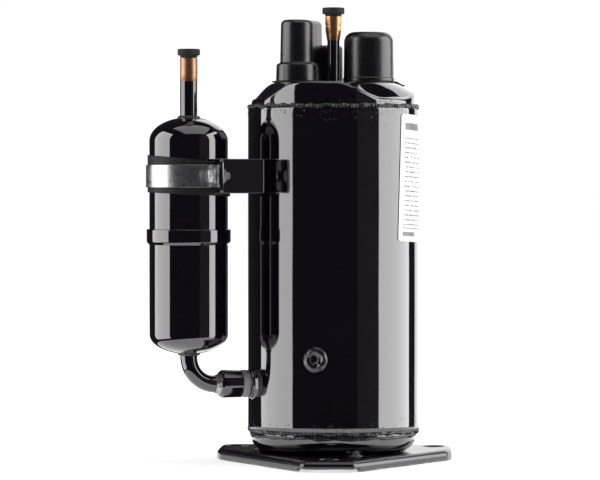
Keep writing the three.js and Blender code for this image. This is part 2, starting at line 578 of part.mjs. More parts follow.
function buildPump() {
  const boltHoles = holesAt(PUMP_BOLT.angles, PUMP_BOLT.circleR, PUMP_BOLT.r + CLEARANCE, 0, 120);
  const backOfVane = CYLINDER.boreR + CLEARANCE + VANE.length;
  const slotHalf = VANE.thickness / 2 + CLEARANCE;
  const slot = bar(CYLINDER.boreR - 6, backOfVane + 1, -slotHalf, slotHalf,
    CYLINDER_BOTTOM - 1, CYLINDER_TOP + 1, VANE.angle);
  const springHole = radialRod(VANE.springR + 0.6, CYLINDER.boreR + VANE.length - 2, CYLINDER.outerR + 2,
    CYLINDER.midZ, VANE.angle);
  const suctionPort = radialRod(PORT_R, CYLINDER.boreR - 6, CYLINDER.outerR + 2, CYLINDER.midZ, 180);
  const cylinder = ring(CYLINDER.boreR, CYLINDER.outerR, CYLINDER_BOTTOM, CYLINDER_TOP)
    .subtract(slot).subtract(springHole).subtract(suctionPort).subtract(boltHoles);
  addPiece("pump_cylinder", cylinder, CAST_IRON);

  const flangeBottom = CYLINDER_TOP + CLEARANCE;
  const flangeTop = flangeBottom + MAIN_BEARING.flangeH;
  const oilReturns = holesAt([30, 150, 270], 54, 3.2, flangeBottom - 2, flangeTop + 2);
  const port = ring(0, DISCHARGE_PORT.r, flangeBottom - 2, flangeTop + 2, 12,
    polar(DISCHARGE_PORT.circleR, DISCHARGE_PORT.angle));
  const mainBearing = revolve([
    [BEARING_BORE_R, flangeBottom], [CYLINDER.outerR, flangeBottom], [CYLINDER.outerR, flangeTop],
    [MAIN_BEARING.hubR, flangeTop], [MAIN_BEARING.hubR, MAIN_BEARING.hubTop], [BEARING_BORE_R, MAIN_BEARING.hubTop],
  ]).subtract(boltHoles).subtract(port).subtract(oilReturns);
  addPiece("main_bearing", mainBearing, CAST_IRON);

  const subTop = CYLINDER_BOTTOM - CLEARANCE;
  const subBearing = revolve([
    [BEARING_BORE_R, SUB_BEARING.hubBottom], [SUB_BEARING.hubR, SUB_BEARING.hubBottom],
    [SUB_BEARING.hubR, subTop - SUB_BEARING.flangeH], [SUB_BEARING.flangeR, subTop - SUB_BEARING.flangeH],
    [SUB_BEARING.flangeR, subTop], [BEARING_BORE_R, subTop],
  ]).subtract(boltHoles);
  addPiece("sub_bearing", subBearing, CAST_IRON);

  const eccentricCentre = polar(ECCENTRICITY, VANE.angle + REST_CRANK);
  const chamber = [CYLINDER_BOTTOM + RUNNING_GAP, CYLINDER_TOP - RUNNING_GAP];
  const eccentric = ring(0, SHAFT.eccentricR, ...chamber, ROUND, eccentricCentre);
  const shaft = ring(0, SHAFT.r, SHAFT.bottom, SHAFT.top, 32).add(eccentric)
    .subtract(ring(0, SHAFT.oilBoreR, SHAFT.bottom - 1, MAIN_BEARING.hubTop, 12));
  addPiece("crankshaft", shaft, STEEL);
  addPiece("roller", ring(ROLLER.innerR, ROLLER.outerR, CYLINDER_BOTTOM + RUNNING_GAP, CYLINDER_TOP - RUNNING_GAP,
    ROUND, eccentricCentre), STEEL);

  const vaneR = CYLINDER.boreR + CLEARANCE;
  addPiece("vane", bar(vaneR, vaneR + VANE.length, -VANE.thickness / 2, VANE.thickness / 2,
    CYLINDER_BOTTOM + RUNNING_GAP, CYLINDER_TOP - RUNNING_GAP, VANE.angle), STEEL);
  addVaneSpring(vaneR + VANE.length + CLEARANCE, CYLINDER.outerR - CLEARANCE);

  addValve(flangeTop + CLEARANCE);
  addMuffler(flangeTop + CLEARANCE, boltHoles);
  PUMP_BOLT.angles.forEach((angle, i) => {
    const place = polar(PUMP_BOLT.circleR, angle);
    const headZ = flangeTop + CLEARANCE + MUFFLER.wall + CLEARANCE;
    const bolt = ring(0, PUMP_BOLT.r, CYLINDER_BOTTOM - 10, headZ + 1, 12, place)
      .add(ring(0, PUMP_BOLT.headR, headZ, headZ + PUMP_BOLT.headH, 6, place));
    addPiece(`pump_bolt_${i + 1}`, bolt, STEEL);
  });
}

/** A coil spring along the vane's line, from one radius to another. */
function addVaneSpring(from, to) {
  const wireR = 0.5;
  const turns = 5;
  class Coil extends THREE.Curve {
    getPoint(t) {
      const angle = 2 * Math.PI * turns * t;
      const r = VANE.springR - wireR;
      return new THREE.Vector3(from + wireR + (to - from - 2 * wireR) * t, r * Math.cos(angle), r * Math.sin(angle));
    }
  }
  const wire = new THREE.Shape();
  wire.absarc(0, 0, wireR, 0, 2 * Math.PI);
  const geometry = new THREE.ExtrudeGeometry(wire, { steps: turns * 8, extrudePath: new Coil(), curveSegments: 3 });
  geometry.translate(0, 0, CYLINDER.midZ);
  geometry.rotateZ(radians(VANE.angle));
  addPiece("vane_spring", toSolid(geometry), STEEL);
}

/** The discharge reed over its port, with the stop and rivet that hold it. */
function addValve(z) {
  const half = REED.width / 2;
  const [portX, portY] = polar(DISCHARGE_PORT.circleR, DISCHARGE_PORT.angle);
  // Local X runs from the port's centre towards the rivet.
  const place = (solid) => solid.rotate([0, 0, REED.direction]).translate([portX, portY, 0]);
  const tongue = new THREE.Shape();
  tongue.absarc(0, 0, half, Math.PI / 2, 1.5 * Math.PI);
  tongue.absarc(REED.length, 0, half, -Math.PI / 2, Math.PI / 2);
  tongue.closePath();
  const rivetR = 1.6;
  const rivetHole = ring(0, rivetR + CLEARANCE, z - 2, z + 12, 12, [REED.length, 0]);
  addPiece("discharge_reed",
    place(plate(tongue, z, z + REED.thickness, 6).subtract(rivetHole)), STEEL);

  const stopZ = z + REED.thickness + CLEARANCE + 0.5;
  const stop = stripOutline([
    [REED.length + half, stopZ], [REED.length - half - 1, stopZ], [REED.length * 0.5, stopZ + 0.7],
    [REED.length * 0.2, stopZ + 1.3], [-half * 0.6, stopZ + 1.8],
  ], 1);
  const stopGeometry = new THREE.ExtrudeGeometry(stop, { depth: REED.width - 1, bevelEnabled: false });
  stopGeometry.translate(0, 0, -(REED.width - 1) / 2);
  stopGeometry.rotateX(Math.PI / 2);
  const rivet = ring(0, rivetR, z, stopZ + 1, 12, [REED.length, 0])
    .add(ring(0, rivetR + 1.2, stopZ + 0.3, stopZ + 2, 12, [REED.length, 0]));
  addPiece("reed_stop", place(toSolid(stopGeometry).add(rivet)), STEEL);
}

/** The pressed cover over the valve, bolted down with the main bearing. */
function addMuffler(z, boltHoles) {
  const { wallR, height, wall } = MUFFLER;
  const hubR = MAIN_BEARING.hubR + CLEARANCE;
  const muffler = revolve([
    [SUB_BEARING.flangeR, z], [SUB_BEARING.flangeR, z + wall], [wallR + 1, z + wall],
    [wallR - 1, z + height], [hubR, z + height], [hubR, z + height - wall],
    [wallR - 2, z + height - wall], [wallR, z],
  ]).subtract(boltHoles);
  addPiece("discharge_muffler", muffler, STEEL);
}

// ---------- motor ----------
function buildMotor() {
  const { bottom, top, boreR, slots, slotDepth, slotWidth } = MOTOR;
  const core = new THREE.Shape();
  core.absarc(0, 0, SHELL_INNER_R - CLEARANCE, 0, 2 * Math.PI);
  // The bore's outline goes out into every slot, through a narrow mouth.
  const mouth = 1.5;
  const bore = [];
  for (let i = 0; i < slots; i += 1) {
    const angle = 360 * i / slots;
    const slotPoints = [
      [boreR, -mouth], [boreR + 1.5, -mouth], [boreR + 3, -slotWidth / 2], [boreR + slotDepth, -slotWidth / 2],
      [boreR + slotDepth, slotWidth / 2], [boreR + 3, slotWidth / 2], [boreR + 1.5, mouth], [boreR, mouth],
    ];
    for (const [x, y] of slotPoints) {
      bore.push(new THREE.Vector2(x, y).rotateAround(new THREE.Vector2(), radians(angle)));
    }
  }
  core.holes.push(new THREE.Path(bore));
  // Flats down the outside leave a way for oil to drain past the core.
  let stator = plate(core, bottom, top, ROUND / 2);
  for (const angle of [30, 90, 150, 210, 270, 330]) {
    stator = stator.subtract(bar(SHELL_INNER_R - 2.5, SHELL_INNER_R + 5, -13, 13, bottom - 1, top + 1, angle));
  }
  addPiece("stator_core", stator, STEEL);

  // Every slot's conductors run straight, and the end turns join them above and below.
  const lift = 1.5;
  let windings = ring(END_TURN.innerR, END_TURN.outerR, top + lift, top + END_TURN.height)
    .add(ring(END_TURN.innerR, END_TURN.outerR, bottom - END_TURN.height, bottom - lift));
  const side = slotWidth / 2 - CLEARANCE;
  for (let i = 0; i < slots; i += 1) {
    windings = windings.add(bar(boreR + 3.6, boreR + slotDepth - CLEARANCE, -side, side,
      bottom - lift - 2, top + lift + 2, 360 * i / slots));
  }
  addPiece("stator_windings", windings, WINDING);

  const coreBore = SHAFT.r + CLEARANCE;
  addPiece("rotor_core", ring(coreBore, ROTOR.r, bottom, top), STEEL);
  const eccentricAngle = VANE.angle + REST_CRANK;
  const ends = [
    ["upper", top + CLEARANCE, 1, eccentricAngle + 180],
    ["lower", bottom - CLEARANCE, -1, eccentricAngle],
  ];
  for (const [name, z, way, heavyAngle] of ends) {
    const ringEnd = z + way * ROTOR.ringH;
    addPiece(`rotor_end_ring_${name}`,
      ring(ROTOR.ringInnerR, ROTOR.ringOuterR, Math.min(z, ringEnd), Math.max(z, ringEnd), 32), ALUMINIUM);
    const low = ringEnd + way * CLEARANCE;
    const high = low + way * BALANCE.height;
    const half = new THREE.Shape();
    half.absarc(0, 0, BALANCE.outerR, radians(heavyAngle - 85), radians(heavyAngle + 85), false);
    half.absarc(0, 0, BALANCE.innerR, radians(heavyAngle + 85), radians(heavyAngle - 85), true);
    half.closePath();
    addPiece(`balance_weight_${name}`, plate(half, Math.min(low, high), Math.max(low, high), 8), STEEL);
  }
}

/** The motor's leads, in one sleeve, and the block that plugs onto the terminal's inner pins. */
function buildLeads() {
  const [cx, cy] = TERMINAL.centre;
  const blockTop = TOP_CAP.flatZ - 6;
  let block = ring(0, 9, blockTop - 12, blockTop, SMALL_ROUND, TERMINAL.centre);
  for (const angle of [90, 210, 330]) {
    const [x, y] = polar(TERMINAL.pinCircleR, angle);
    const pinAt = [cx + x, cy + y];
    block = block.subtract(ring(0, TERMINAL.pinR + CLEARANCE, blockTop - 11, blockTop + 1, 12, pinAt));
  }
  addPiece("lead_block", block, MOULDED);
  const route = new THREE.CatmullRomCurve3([
    new THREE.Vector3(cx, cy, blockTop - 12 - 2 * CLEARANCE),
    new THREE.Vector3(cx, cy + 0.5, blockTop - 22),
    new THREE.Vector3(cx - 6, cy + 10, blockTop - 38),
    new THREE.Vector3(cx - 7, cy + 16, MOTOR.top + END_TURN.height + 16),
    new THREE.Vector3(cx - 5, cy + 19, MOTOR.top + END_TURN.height + CLEARANCE + 0.4),
  ]);
  const section = new THREE.Shape();
  section.absarc(0, 0, 2.6, 0, 2 * Math.PI);
  const sleeve = new THREE.ExtrudeGeometry(section, { steps: 16, extrudePath: route, curveSegments: 5 });
  addPiece("motor_lead_sleeve", toSolid(sleeve), RUBBER);
}

buildCasing();
buildMountingPlate();
buildPipes();
buildAccumulator();
buildClamp();
buildCovers();
buildLabel();
buildPump();
buildMotor();
buildLeads();

export default group;
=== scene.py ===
"""Dressed model of a hermetic rotary refrigeration compressor with its suction accumulator.

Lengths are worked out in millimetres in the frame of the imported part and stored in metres. Places
come from the boxes of the part's own nodes. Each visible piece is a closed surface on a grid.
"""
import logging
import math
from dataclasses import dataclass, field
from enum import Enum
from typing import Callable, Iterable, Sequence

import bmesh
import bpy
import numpy as np
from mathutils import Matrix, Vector


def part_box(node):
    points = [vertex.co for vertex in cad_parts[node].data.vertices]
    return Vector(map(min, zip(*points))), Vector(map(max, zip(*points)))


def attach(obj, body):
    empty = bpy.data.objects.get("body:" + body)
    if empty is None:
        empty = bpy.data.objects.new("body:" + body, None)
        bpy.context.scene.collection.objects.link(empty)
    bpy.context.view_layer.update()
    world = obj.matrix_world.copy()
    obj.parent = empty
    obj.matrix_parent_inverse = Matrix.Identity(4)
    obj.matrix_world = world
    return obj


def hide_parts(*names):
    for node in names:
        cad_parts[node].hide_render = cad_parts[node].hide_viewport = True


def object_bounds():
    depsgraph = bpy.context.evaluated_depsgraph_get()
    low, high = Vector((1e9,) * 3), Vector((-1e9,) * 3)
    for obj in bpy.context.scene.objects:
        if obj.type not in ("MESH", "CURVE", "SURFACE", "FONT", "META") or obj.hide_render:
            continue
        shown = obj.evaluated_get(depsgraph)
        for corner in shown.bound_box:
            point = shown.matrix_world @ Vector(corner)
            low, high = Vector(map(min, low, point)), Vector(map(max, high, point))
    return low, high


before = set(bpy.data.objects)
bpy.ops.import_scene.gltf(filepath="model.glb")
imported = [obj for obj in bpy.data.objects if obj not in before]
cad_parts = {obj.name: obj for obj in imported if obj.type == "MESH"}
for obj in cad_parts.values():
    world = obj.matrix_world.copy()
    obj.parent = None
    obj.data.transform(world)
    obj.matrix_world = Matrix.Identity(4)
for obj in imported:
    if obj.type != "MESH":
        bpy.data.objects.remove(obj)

CAD_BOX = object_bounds()
LOG = logging.getLogger("compressor")
MM = 0.001
Array = np.ndarray
Colour = tuple[float, float, float]


class Body(Enum):
    """The moving bodies that a piece can ride on."""

    ROOT = "root"
    TERMINAL_COVER = "terminal_cover_body"
    PROTECTOR_COVER = "protector_cover_body"
    DISCHARGE_PLUG = "discharge_plug_body"
    SUCTION_PLUG = "suction_plug_body"


class Slot(Enum):
    """The material slots of the part's record."""

    PAINT = "black_gloss_paint"
    WELD = "weld_metal"
    COPPER = "copper"
    BRAZE = "braze"
    RUBBER = "rubber"
    MOULDED = "moulded_cover"
    GALVANISED = "galvanised_steel"
    FASTENER = "zinc_fastener"
    LABEL = "label"


# ---------------------------------------------------------------- surfaces
@dataclass
class Surface:
    """Points in millimetres and the faces between them, as arrays of equal-sided faces."""

    points: Array
    faces: list[Array]

    def __add__(self, other: "Surface") -> "Surface":
        """Both surfaces as one.

        Args:
            other: The surface joined on.

        Returns:
            The joined surface.
        """
        shift = len(self.points)
        moved = [block + shift for block in other.faces]
        return Surface(np.vstack([self.points, other.points]), self.faces + moved)


def grid(points: Array, wrap_rows: bool = False, wrap_columns: bool = True, caps: bool = False) -> Surface:
    """Four-sided faces between neighbouring rows and columns of a grid of points.

    Args:
        points: Rows by columns by three coordinates.
        wrap_rows: The last row joins the first.
        wrap_columns: The last column joins the first.
        caps: The first and the last row are each closed with one face.

    Returns:
        The surface over the grid.
    """
    rows, columns = points.shape[:2]
    index = np.arange(rows * columns).reshape(rows, columns)
    if wrap_rows:
        index = np.vstack([index, index[:1]])
    if wrap_columns:
        index = np.hstack([index, index[:, :1]])
    quads = np.stack([index[:-1, :-1], index[:-1, 1:], index[1:, 1:], index[1:, :-1]], axis=-1)
    faces = [quads.reshape(-1, 4)]
    if caps:
        first = np.arange(columns)[None, ::-1]
        last = (rows - 1) * columns + np.arange(columns)[None, :]
        faces += [first, last]
    return Surface(points.reshape(-1, 3), faces)


def circled(radius: Array, angle: Array, height: Array, centre: Sequence[float] = (0.0, 0.0)) -> Array:
    """Points at (centre + radius cos angle, centre + radius sin angle, height)."""
    parts = (centre[0] + radius * np.cos(angle), centre[1] + radius * np.sin(angle), height)
    return np.stack(np.broadcast_arrays(*parts), axis=-1)


def ramp(value: Array, low: float = 0.0, high: float = 1.0) -> Array:
    """Rises smoothly from 0 at low to 1 at high: three t squared less two t cubed."""
    t = np.clip((value - low) / (high - low), 0.0, 1.0)
    return t * t * (3.0 - 2.0 * t)


def rounded(points: Sequence[tuple[float, float]], radii: Sequence[float] | float, closed: bool = True,
            steps: int = 5) -> Array:
    """An outline with each corner replaced by an arc.

    A corner's arc starts and ends at radius times the tangent of half the turn from the corner, and
    runs as a circle that touches both sides.

    Args:
        points: The corners.
        radii: One radius for each corner, or one for all.
        closed: Whether the last corner joins the first.
        steps: Faces along each arc.

    Returns:
        The points of the outline.
    """
    corners = np.asarray(points, float)
    count = len(corners)
    sizes = np.full(count, float(radii)) if np.isscalar(radii) else np.asarray(radii, float)
    made: list[Array] = []
    for i in range(count):
        if not closed and i in (0, count - 1):
            made.append(corners[i:i + 1])
            continue
        before = corners[i - 1] - corners[i]
        after = corners[(i + 1) % count] - corners[i]
        reach = min(np.linalg.norm(before), np.linalg.norm(after))
        before, after = before / np.linalg.norm(before), after / np.linalg.norm(after)
        half = math.acos(float(np.clip(before @ after, -1, 1))) / 2
        if sizes[i] <= 0 or half > math.pi / 2 - 0.01:
            made.append(corners[i:i + 1])
            continue
        radius = min(sizes[i], 0.49 * reach * math.tan(half))
        middle = (before + after) / np.linalg.norm(before + after)
        centre = corners[i] + middle * radius / math.sin(half)
        start = corners[i] + before * radius / math.tan(half) - centre
        end = corners[i] + after * radius / math.tan(half) - centre
        share = np.linspace(0, 1, steps + 1)[:, None]
        span = math.acos(float(np.clip(start @ end / radius**2, -1, 1)))
        arc = np.sin((1 - share) * span) * start + np.sin(share * span) * end
        made.append(centre + arc / math.sin(span))
    return np.vstack(made)


def revolve(profile: Array, sides: int = 128, centre: tuple[float, float] = (0.0, 0.0),
            radial: Array | float = 0.0, rise: Array | float = 0.0, closed: bool = True) -> Surface:
    """A profile of radius and height turned about an upright line.

    Args:
        profile: Points of radius and height.
        sides: Faces round the line.
        centre: Where the line stands.
        radial: Added to the radius at each point and angle.
        rise: Added to the height at each point and angle.
        closed: The profile is a loop; otherwise it starts and ends on the line.

    Returns:
        The turned surface.
    """
    angle = np.linspace(0, 2 * np.pi, sides, endpoint=False)
    radius = profile[:, :1] + radial + 0 * angle
    height = profile[:, 1:] + rise + 0 * angle
    radius = np.where(profile[:, :1] <= 0, 0.0, radius)
    return grid(circled(radius, angle, height, centre), wrap_rows=closed)


def laid(surface: Surface, origin: Sequence[float], axis: Sequence[float]) -> Surface:
    """A surface made about the upright line, laid along another direction from an origin.

    Args:
        surface: The surface, made about the upright line.
        origin: Where its height of 0 goes.
        axis: The direction it points along.

    Returns:
        The laid surface.
    """
    up = np.asarray(axis, float) / np.linalg.norm(axis)
    side = np.cross(up, (0.0, 0.0, 1.0))
    side = side / np.linalg.norm(side) if np.linalg.norm(side) > 1e-6 else np.array((1.0, 0.0, 0.0))
    other = np.cross(up, side)
    basis = np.stack([other, side, up])
    return Surface(surface.points @ basis + np.asarray(origin, float), surface.faces)


def carried(path: Array, section: Array, closed: bool = False) -> Surface:
    """A section of offset and height carried along a plan path, square to it.

    Each point is the path's point plus the offset along the path's left-hand normal, lifted to the
    section's height. The section may be one for all or one for each path point.

    Args:
        path: Plan points.
        section: Points of offset and height, with or without a leading axis for the path.
        closed: The path is a loop.

    Returns:
        The carried surface, with its ends closed.
    """
    if closed:
        ahead, behind = np.roll(path, -1, axis=0), np.roll(path, 1, axis=0)
        along = ahead - behind
    else:
        along = np.gradient(path, axis=0)
    along /= np.linalg.norm(along, axis=1, keepdims=True)
    normal = np.stack([-along[:, 1], along[:, 0]], axis=-1)
    sections = section if section.ndim == 3 else np.broadcast_to(section, (len(path), *section.shape))
    plan = path[:, None, :] + normal[:, None, :] * sections[:, :, :1]
    points = np.concatenate([plan, sections[:, :, 1:]], axis=-1)
    return grid(points, wrap_rows=closed, caps=not closed)


def slab(width: float, low: float, high: float, radius: float) -> Array:
    """A rounded rectangle of offset and height, centred on the path."""
    half = width / 2
    return rounded([(-half, low), (half, low), (half, high), (-half, high)], radius, steps=4)


def lengthwise(path: Array, closed: bool = False, step: float = 2.0) -> Array:
    """The same path with points at even steps along it.

    Args:
        path: Points of the path.
        closed: Whether the last point joins the first.
        step: About the length between points.

    Returns:
        The even points.
    """
    line = np.vstack([path, path[:1]]) if closed else path
    run = np.concatenate([[0], np.cumsum(np.linalg.norm(np.diff(line, axis=0), axis=1))])
    count = max(2, int(run[-1] / step))
    at = np.linspace(0, run[-1], count, endpoint=not closed)
    return np.stack([np.interp(at, run, line[:, 0]), np.interp(at, run, line[:, 1])], axis=-1)


def stadium(first: Sequence[float], last: Sequence[float], rows: Array, steps: int = 24) -> Surface:
    """A lofted form whose plan is a slot: every row stands its radius off the line between two centres.

    Each point is the nearer centre plus the row's radius along the outward direction. The rows start
    and end at radius 0, so the form closes on the line.

    Args:
        first: Plan centre of one end.
        last: Plan centre of the other.
        rows: Points of radius and height.
        steps: Faces round each half.

    Returns:
        The closed surface.
    """
    a, b = np.asarray(first, float), np.asarray(last, float)
    turn = math.atan2(*(b - a)[::-1]) if np.linalg.norm(b - a) > 0 else 0.0
    half = np.linspace(np.pi / 2, 3 * np.pi / 2, steps)
    angle = turn + np.concatenate([half, half + np.pi])
    spine = np.vstack([np.repeat(a[None], steps, axis=0), np.repeat(b[None], steps, axis=0)])
    outward = np.stack([np.cos(angle), np.sin(angle)], axis=-1)
    plan = spine[None] + rows[:, :1, None] * outward[None]
    height = np.broadcast_to(rows[:, 1][:, None, None], (*plan.shape[:2], 1))
    return grid(np.concatenate([plan, height], axis=-1))


def waves(angle: Array, seed: int, low: int, high: int, count: int = 12,
          across: Array | float = 0.0) -> Array:
    """A seeded mix of cosines round a loop, between about -1 and 1, that closes on itself.

    Args:
        angle: Directions, in radians.
        seed: Seed of the draw.
        low: Fewest waves in a turn.
        high: Waves in a turn stay below this.
        count: How many cosines.
        across: Place across the loop, which drifts the waves.

    Returns:
        The mix at each direction.
    """
    chance = np.random.default_rng(seed)
    total = np.zeros(np.broadcast(angle, across).shape)
    for order, phase, drift in zip(chance.integers(low, high, count), chance.uniform(0, 2 * np.pi, count),
                                   chance.normal(0, 1.4, count)):
        total = total + np.cos(order * angle + drift * across + phase)
    return total / math.sqrt(count)


def dome(radius: float, neck: float, start: float, height: float, steps: int = 24) -> Array:
    """A quarter ellipse of radius and height from the wall to the neck."""
    t = np.linspace(0, math.acos(neck / radius), steps + 1)
    return np.stack([radius * np.cos(t), start + height * np.sin(t)], axis=-1)


def make_piece(name: str, surface: Surface, finish: "Finish", body: Body = Body.ROOT,
               stands_for: Iterable[str] = (), crease: float = 38.0,
               marks: Callable[[Array], Array] | None = None) -> bpy.types.Object:
    """Puts a surface into a mesh, dresses it and ties it to its body.

    Args:
        name: The piece's name.
        surface: The closed surface, in millimetres.
        finish: What it is made of.
        body: What it moves with.
        stands_for: Nodes of the part that it replaces.
        crease: Edges sharper than this many degrees stay sharp.
        marks: Gives three numbers for each point, kept as the attribute "sheet".

    Returns:
        The new object.
    """
    mesh = bpy.data.meshes.new(name)
    faces = [face for block in surface.faces for face in block.tolist()]
    mesh.from_pydata((surface.points * MM).tolist(), [], faces)
    work = bmesh.new()
    work.from_mesh(mesh)
    bmesh.ops.remove_doubles(work, verts=work.verts, dist=2e-7)
    bmesh.ops.dissolve_degenerate(work, edges=work.edges, dist=1e-8)
    bmesh.ops.recalc_face_normals(work, faces=work.faces)
    work.to_mesh(mesh)
    work.free()
    mesh.shade_smooth()
    mesh.set_sharp_from_angle(angle=math.radians(crease))
    if marks is not None:
        place = np.empty(len(mesh.vertices) * 3)
        mesh.vertices.foreach_get("co", place)
        values = marks(place.reshape(-1, 3) / MM)
        mesh.attributes.new("sheet", "FLOAT_VECTOR", "POINT").data.foreach_set("vector", values.ravel())
    mesh.materials.append(finish.material())
    made = bpy.data.objects.new(name, mesh)
    bpy.context.scene.collection.objects.link(made)
    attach(made, body.value)
    if stands_for:
        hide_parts(*stands_for)
    LOG.info("%s: %d faces, %s", name, len(mesh.polygons), finish.name)
    return made


@dataclass(frozen=True)
class Extent:
    """Where a node of the part stands, in millimetres."""

    low: Array
    high: Array

    @staticmethod
    def of(node: str) -> "Extent":
        """The box round a node."""
        low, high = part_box(node)
        return Extent(np.array(low) / MM, np.array(high) / MM)

    @property
    def centre(self) -> Array:
        """The middle of the box."""
        return (self.low + self.high) / 2

    @property
    def size(self) -> Array:
        """The sides of the box."""
        return self.high - self.low


# ---------------------------------------------------------------- shader maths
class Value:
    """A socket of a shader tree, so that shader maths reads as an expression."""

    def __init__(self, shader: "Shader", socket: bpy.types.NodeSocket) -> None:
        """Keeps the tree and the socket."""
        self.shader = shader
        self.socket = socket

    def _math(self, operation: str, *others: "Value | float") -> "Value":
        """One Math node on this value and others."""
        return self.shader.node("ShaderNodeMath", {"operation": operation}, {i: v for i, v in
                                enumerate((self, *others))})

    def _flipped(self, operation: str, first: float) -> "Value":
        """One Math node with a number first and this value second."""
        return self.shader.node("ShaderNodeMath", {"operation": operation}, {0: first, 1: self})

    def __add__(self, other: "Value | float") -> "Value":
        """Sum."""
        return self._math("ADD", other)

    __radd__ = __add__

    def __mul__(self, other: "Value | float") -> "Value":
        """Product."""
        return self._math("MULTIPLY", other)

    __rmul__ = __mul__

    def __sub__(self, other: "Value | float") -> "Value":
        """Difference."""
        return self._math("SUBTRACT", other)

    def __rsub__(self, other: float) -> "Value":
        """A number less this value."""
        return self._flipped("SUBTRACT", other)

    def __truediv__(self, other: "Value | float") -> "Value":
        """Quotient."""
        return self._math("DIVIDE", other)

    def __pow__(self, other: float) -> "Value":
        """Power."""
        return self._math("POWER", other)

    def wave(self) -> "Value":
        """Sine."""
        return self._math("SINE")

    def size(self) -> "Value":
        """The value without its sign."""
        return self._math("ABSOLUTE")

    def part(self) -> "Value":
        """The part after the point."""
        return self._math("FRACT")

    def whole(self) -> "Value":
        """The part before the point."""
        return self._math("FLOOR")

    def between(self, low: float, high: float, start: float = 0.0, end: float = 1.0) -> "Value":
        """Runs smoothly from start to end as this value goes from low to high."""
        return self.shader.node("ShaderNodeMapRange", {"interpolation_type": "SMOOTHSTEP"},
                                {0: self, 1: low, 2: high, 3: start, 4: end})


class Shader:
    """One material's tree, with its principled surface and its output in place."""

    def __init__(self, name: str) -> None:
        """Starts an empty tree.

        Args:
            name: The material's name.
        """
        self.material = bpy.data.materials.new(name)
        self.material.use_nodes = True
        self.tree = self.material.node_tree
        self.tree.nodes.clear()
        self.surface = self.tree.nodes.new("ShaderNodeBsdfPrincipled")
        output = self.tree.nodes.new("ShaderNodeOutputMaterial")
        self.tree.links.new(self.surface.outputs[0], output.inputs[0])
        self.place = self.node("ShaderNodeTexCoord", {}, {}, "Object")

    def _join(self, socket: bpy.types.NodeSocket, value: "Value | float | Sequence[float]") -> None:
        """Links a value to a socket, or sets the socket's own number.

        Args:
            socket: The socket to fill.
            value: What it gets.
        """
        if isinstance(value, Value):
            self.tree.links.new(value.socket, socket)
        elif hasattr(socket.default_value, "__len__") and len(socket.default_value) == 4:
            socket.default_value = (*value, 1.0) if len(value) == 3 else value
        else:
            socket.default_value = value

    def node(self, kind: str, settings: dict, inputs: dict, out: int | str = 0) -> Value:
        """Adds a node.

        Args:
            kind: The node's type.
            settings: Its settings.
            inputs: Its sockets' values or links, by number or name.
            out: The output to hand back.

        Returns:
            The output as a value.
        """
        made = self.tree.nodes.new(kind)
        for key, value in settings.items():
            setattr(made, key, value)
        for key, value in inputs.items():
            self._join(made.inputs[key], value)
        return Value(self, made.outputs[out])

    def noise(self, grain: float, detail: float = 3.0, rough: float = 0.5,
              stretch: Sequence[float] = (1.0, 1.0, 1.0)) -> Value:
        """Soft noise whose grains are about this many millimetres across.

        Args:
            grain: Size of a grain.
            detail: Octaves.
            rough: Weight of the finer octaves.
            stretch: Scale along each axis.

        Returns:
            The noise, from 0 to 1.
        """
        where = self.place
        if tuple(stretch) != (1.0, 1.0, 1.0):
            where = self.node("ShaderNodeMapping", {}, {"Vector": where, "Scale": stretch})
        return self.node("ShaderNodeTexNoise", {}, {"Vector": where, "Scale": 1.0 / (grain * MM),
                         "Detail": detail, "Roughness": rough}, "Fac")

    def cells(self, grain: float, out: str = "Distance") -> Value:
        """Distance to, or colour of, cells about this many millimetres across."""
        return self.node("ShaderNodeTexVoronoi", {}, {"Vector": self.place, "Scale": 1.0 / (grain * MM)}, out)

    def axis(self, name: str) -> Value:
        """One coordinate of the point, in millimetres."""
        return self.node("ShaderNodeSeparateXYZ", {}, {0: self.place}, name) * (1 / MM)

    def blend(self, share: "Value | float", first: "Value | Colour", second: "Value | Colour") -> Value:
        """A mix of two colours."""
        return self.node("ShaderNodeMix", {"data_type": "RGBA"}, {0: share, 6: first, 7: second}, 2)

    def bump(self, height: Value, depth: float, under: Value | None = None) -> Value:
        """A normal from a height of 0 to 1 that stands for this many millimetres.

        Args:
            height: The height.
            depth: Millimetres at a height of 1.
            under: A normal this one adds to.

        Returns:
            The normal.
        """
        inputs: dict = {"Height": height, "Distance": depth * MM, "Strength": 1.0}
        if under is not None:
            inputs["Normal"] = under
        return self.node("ShaderNodeBump", {}, inputs)

    def set(self, **sockets: "Value | float | Sequence[float]") -> None:
        """Sets the principled surface's sockets, named with underscores for spaces."""
        for key, value in sockets.items():
            self._join(self.surface.inputs[key.replace("_", " ")], value)


# ---------------------------------------------------------------- finishes
_MADE: dict[str, bpy.types.Material] = {}


@dataclass(frozen=True)
class Finish:
    """What a piece is made of and how its surface is worked."""

    name: str
    colour: Colour
    roughness: float = 0.4

    def material(self) -> bpy.types.Material:
        """The material, made once.

        Returns:
            The material.
        """
        if self.name not in _MADE:
            shader = Shader(self.name)
            self.dress(shader)
            _MADE[self.name] = shader.material
        return _MADE[self.name]

    def dress(self, s: Shader) -> None:
        """Builds the tree."""
        raise NotImplementedError


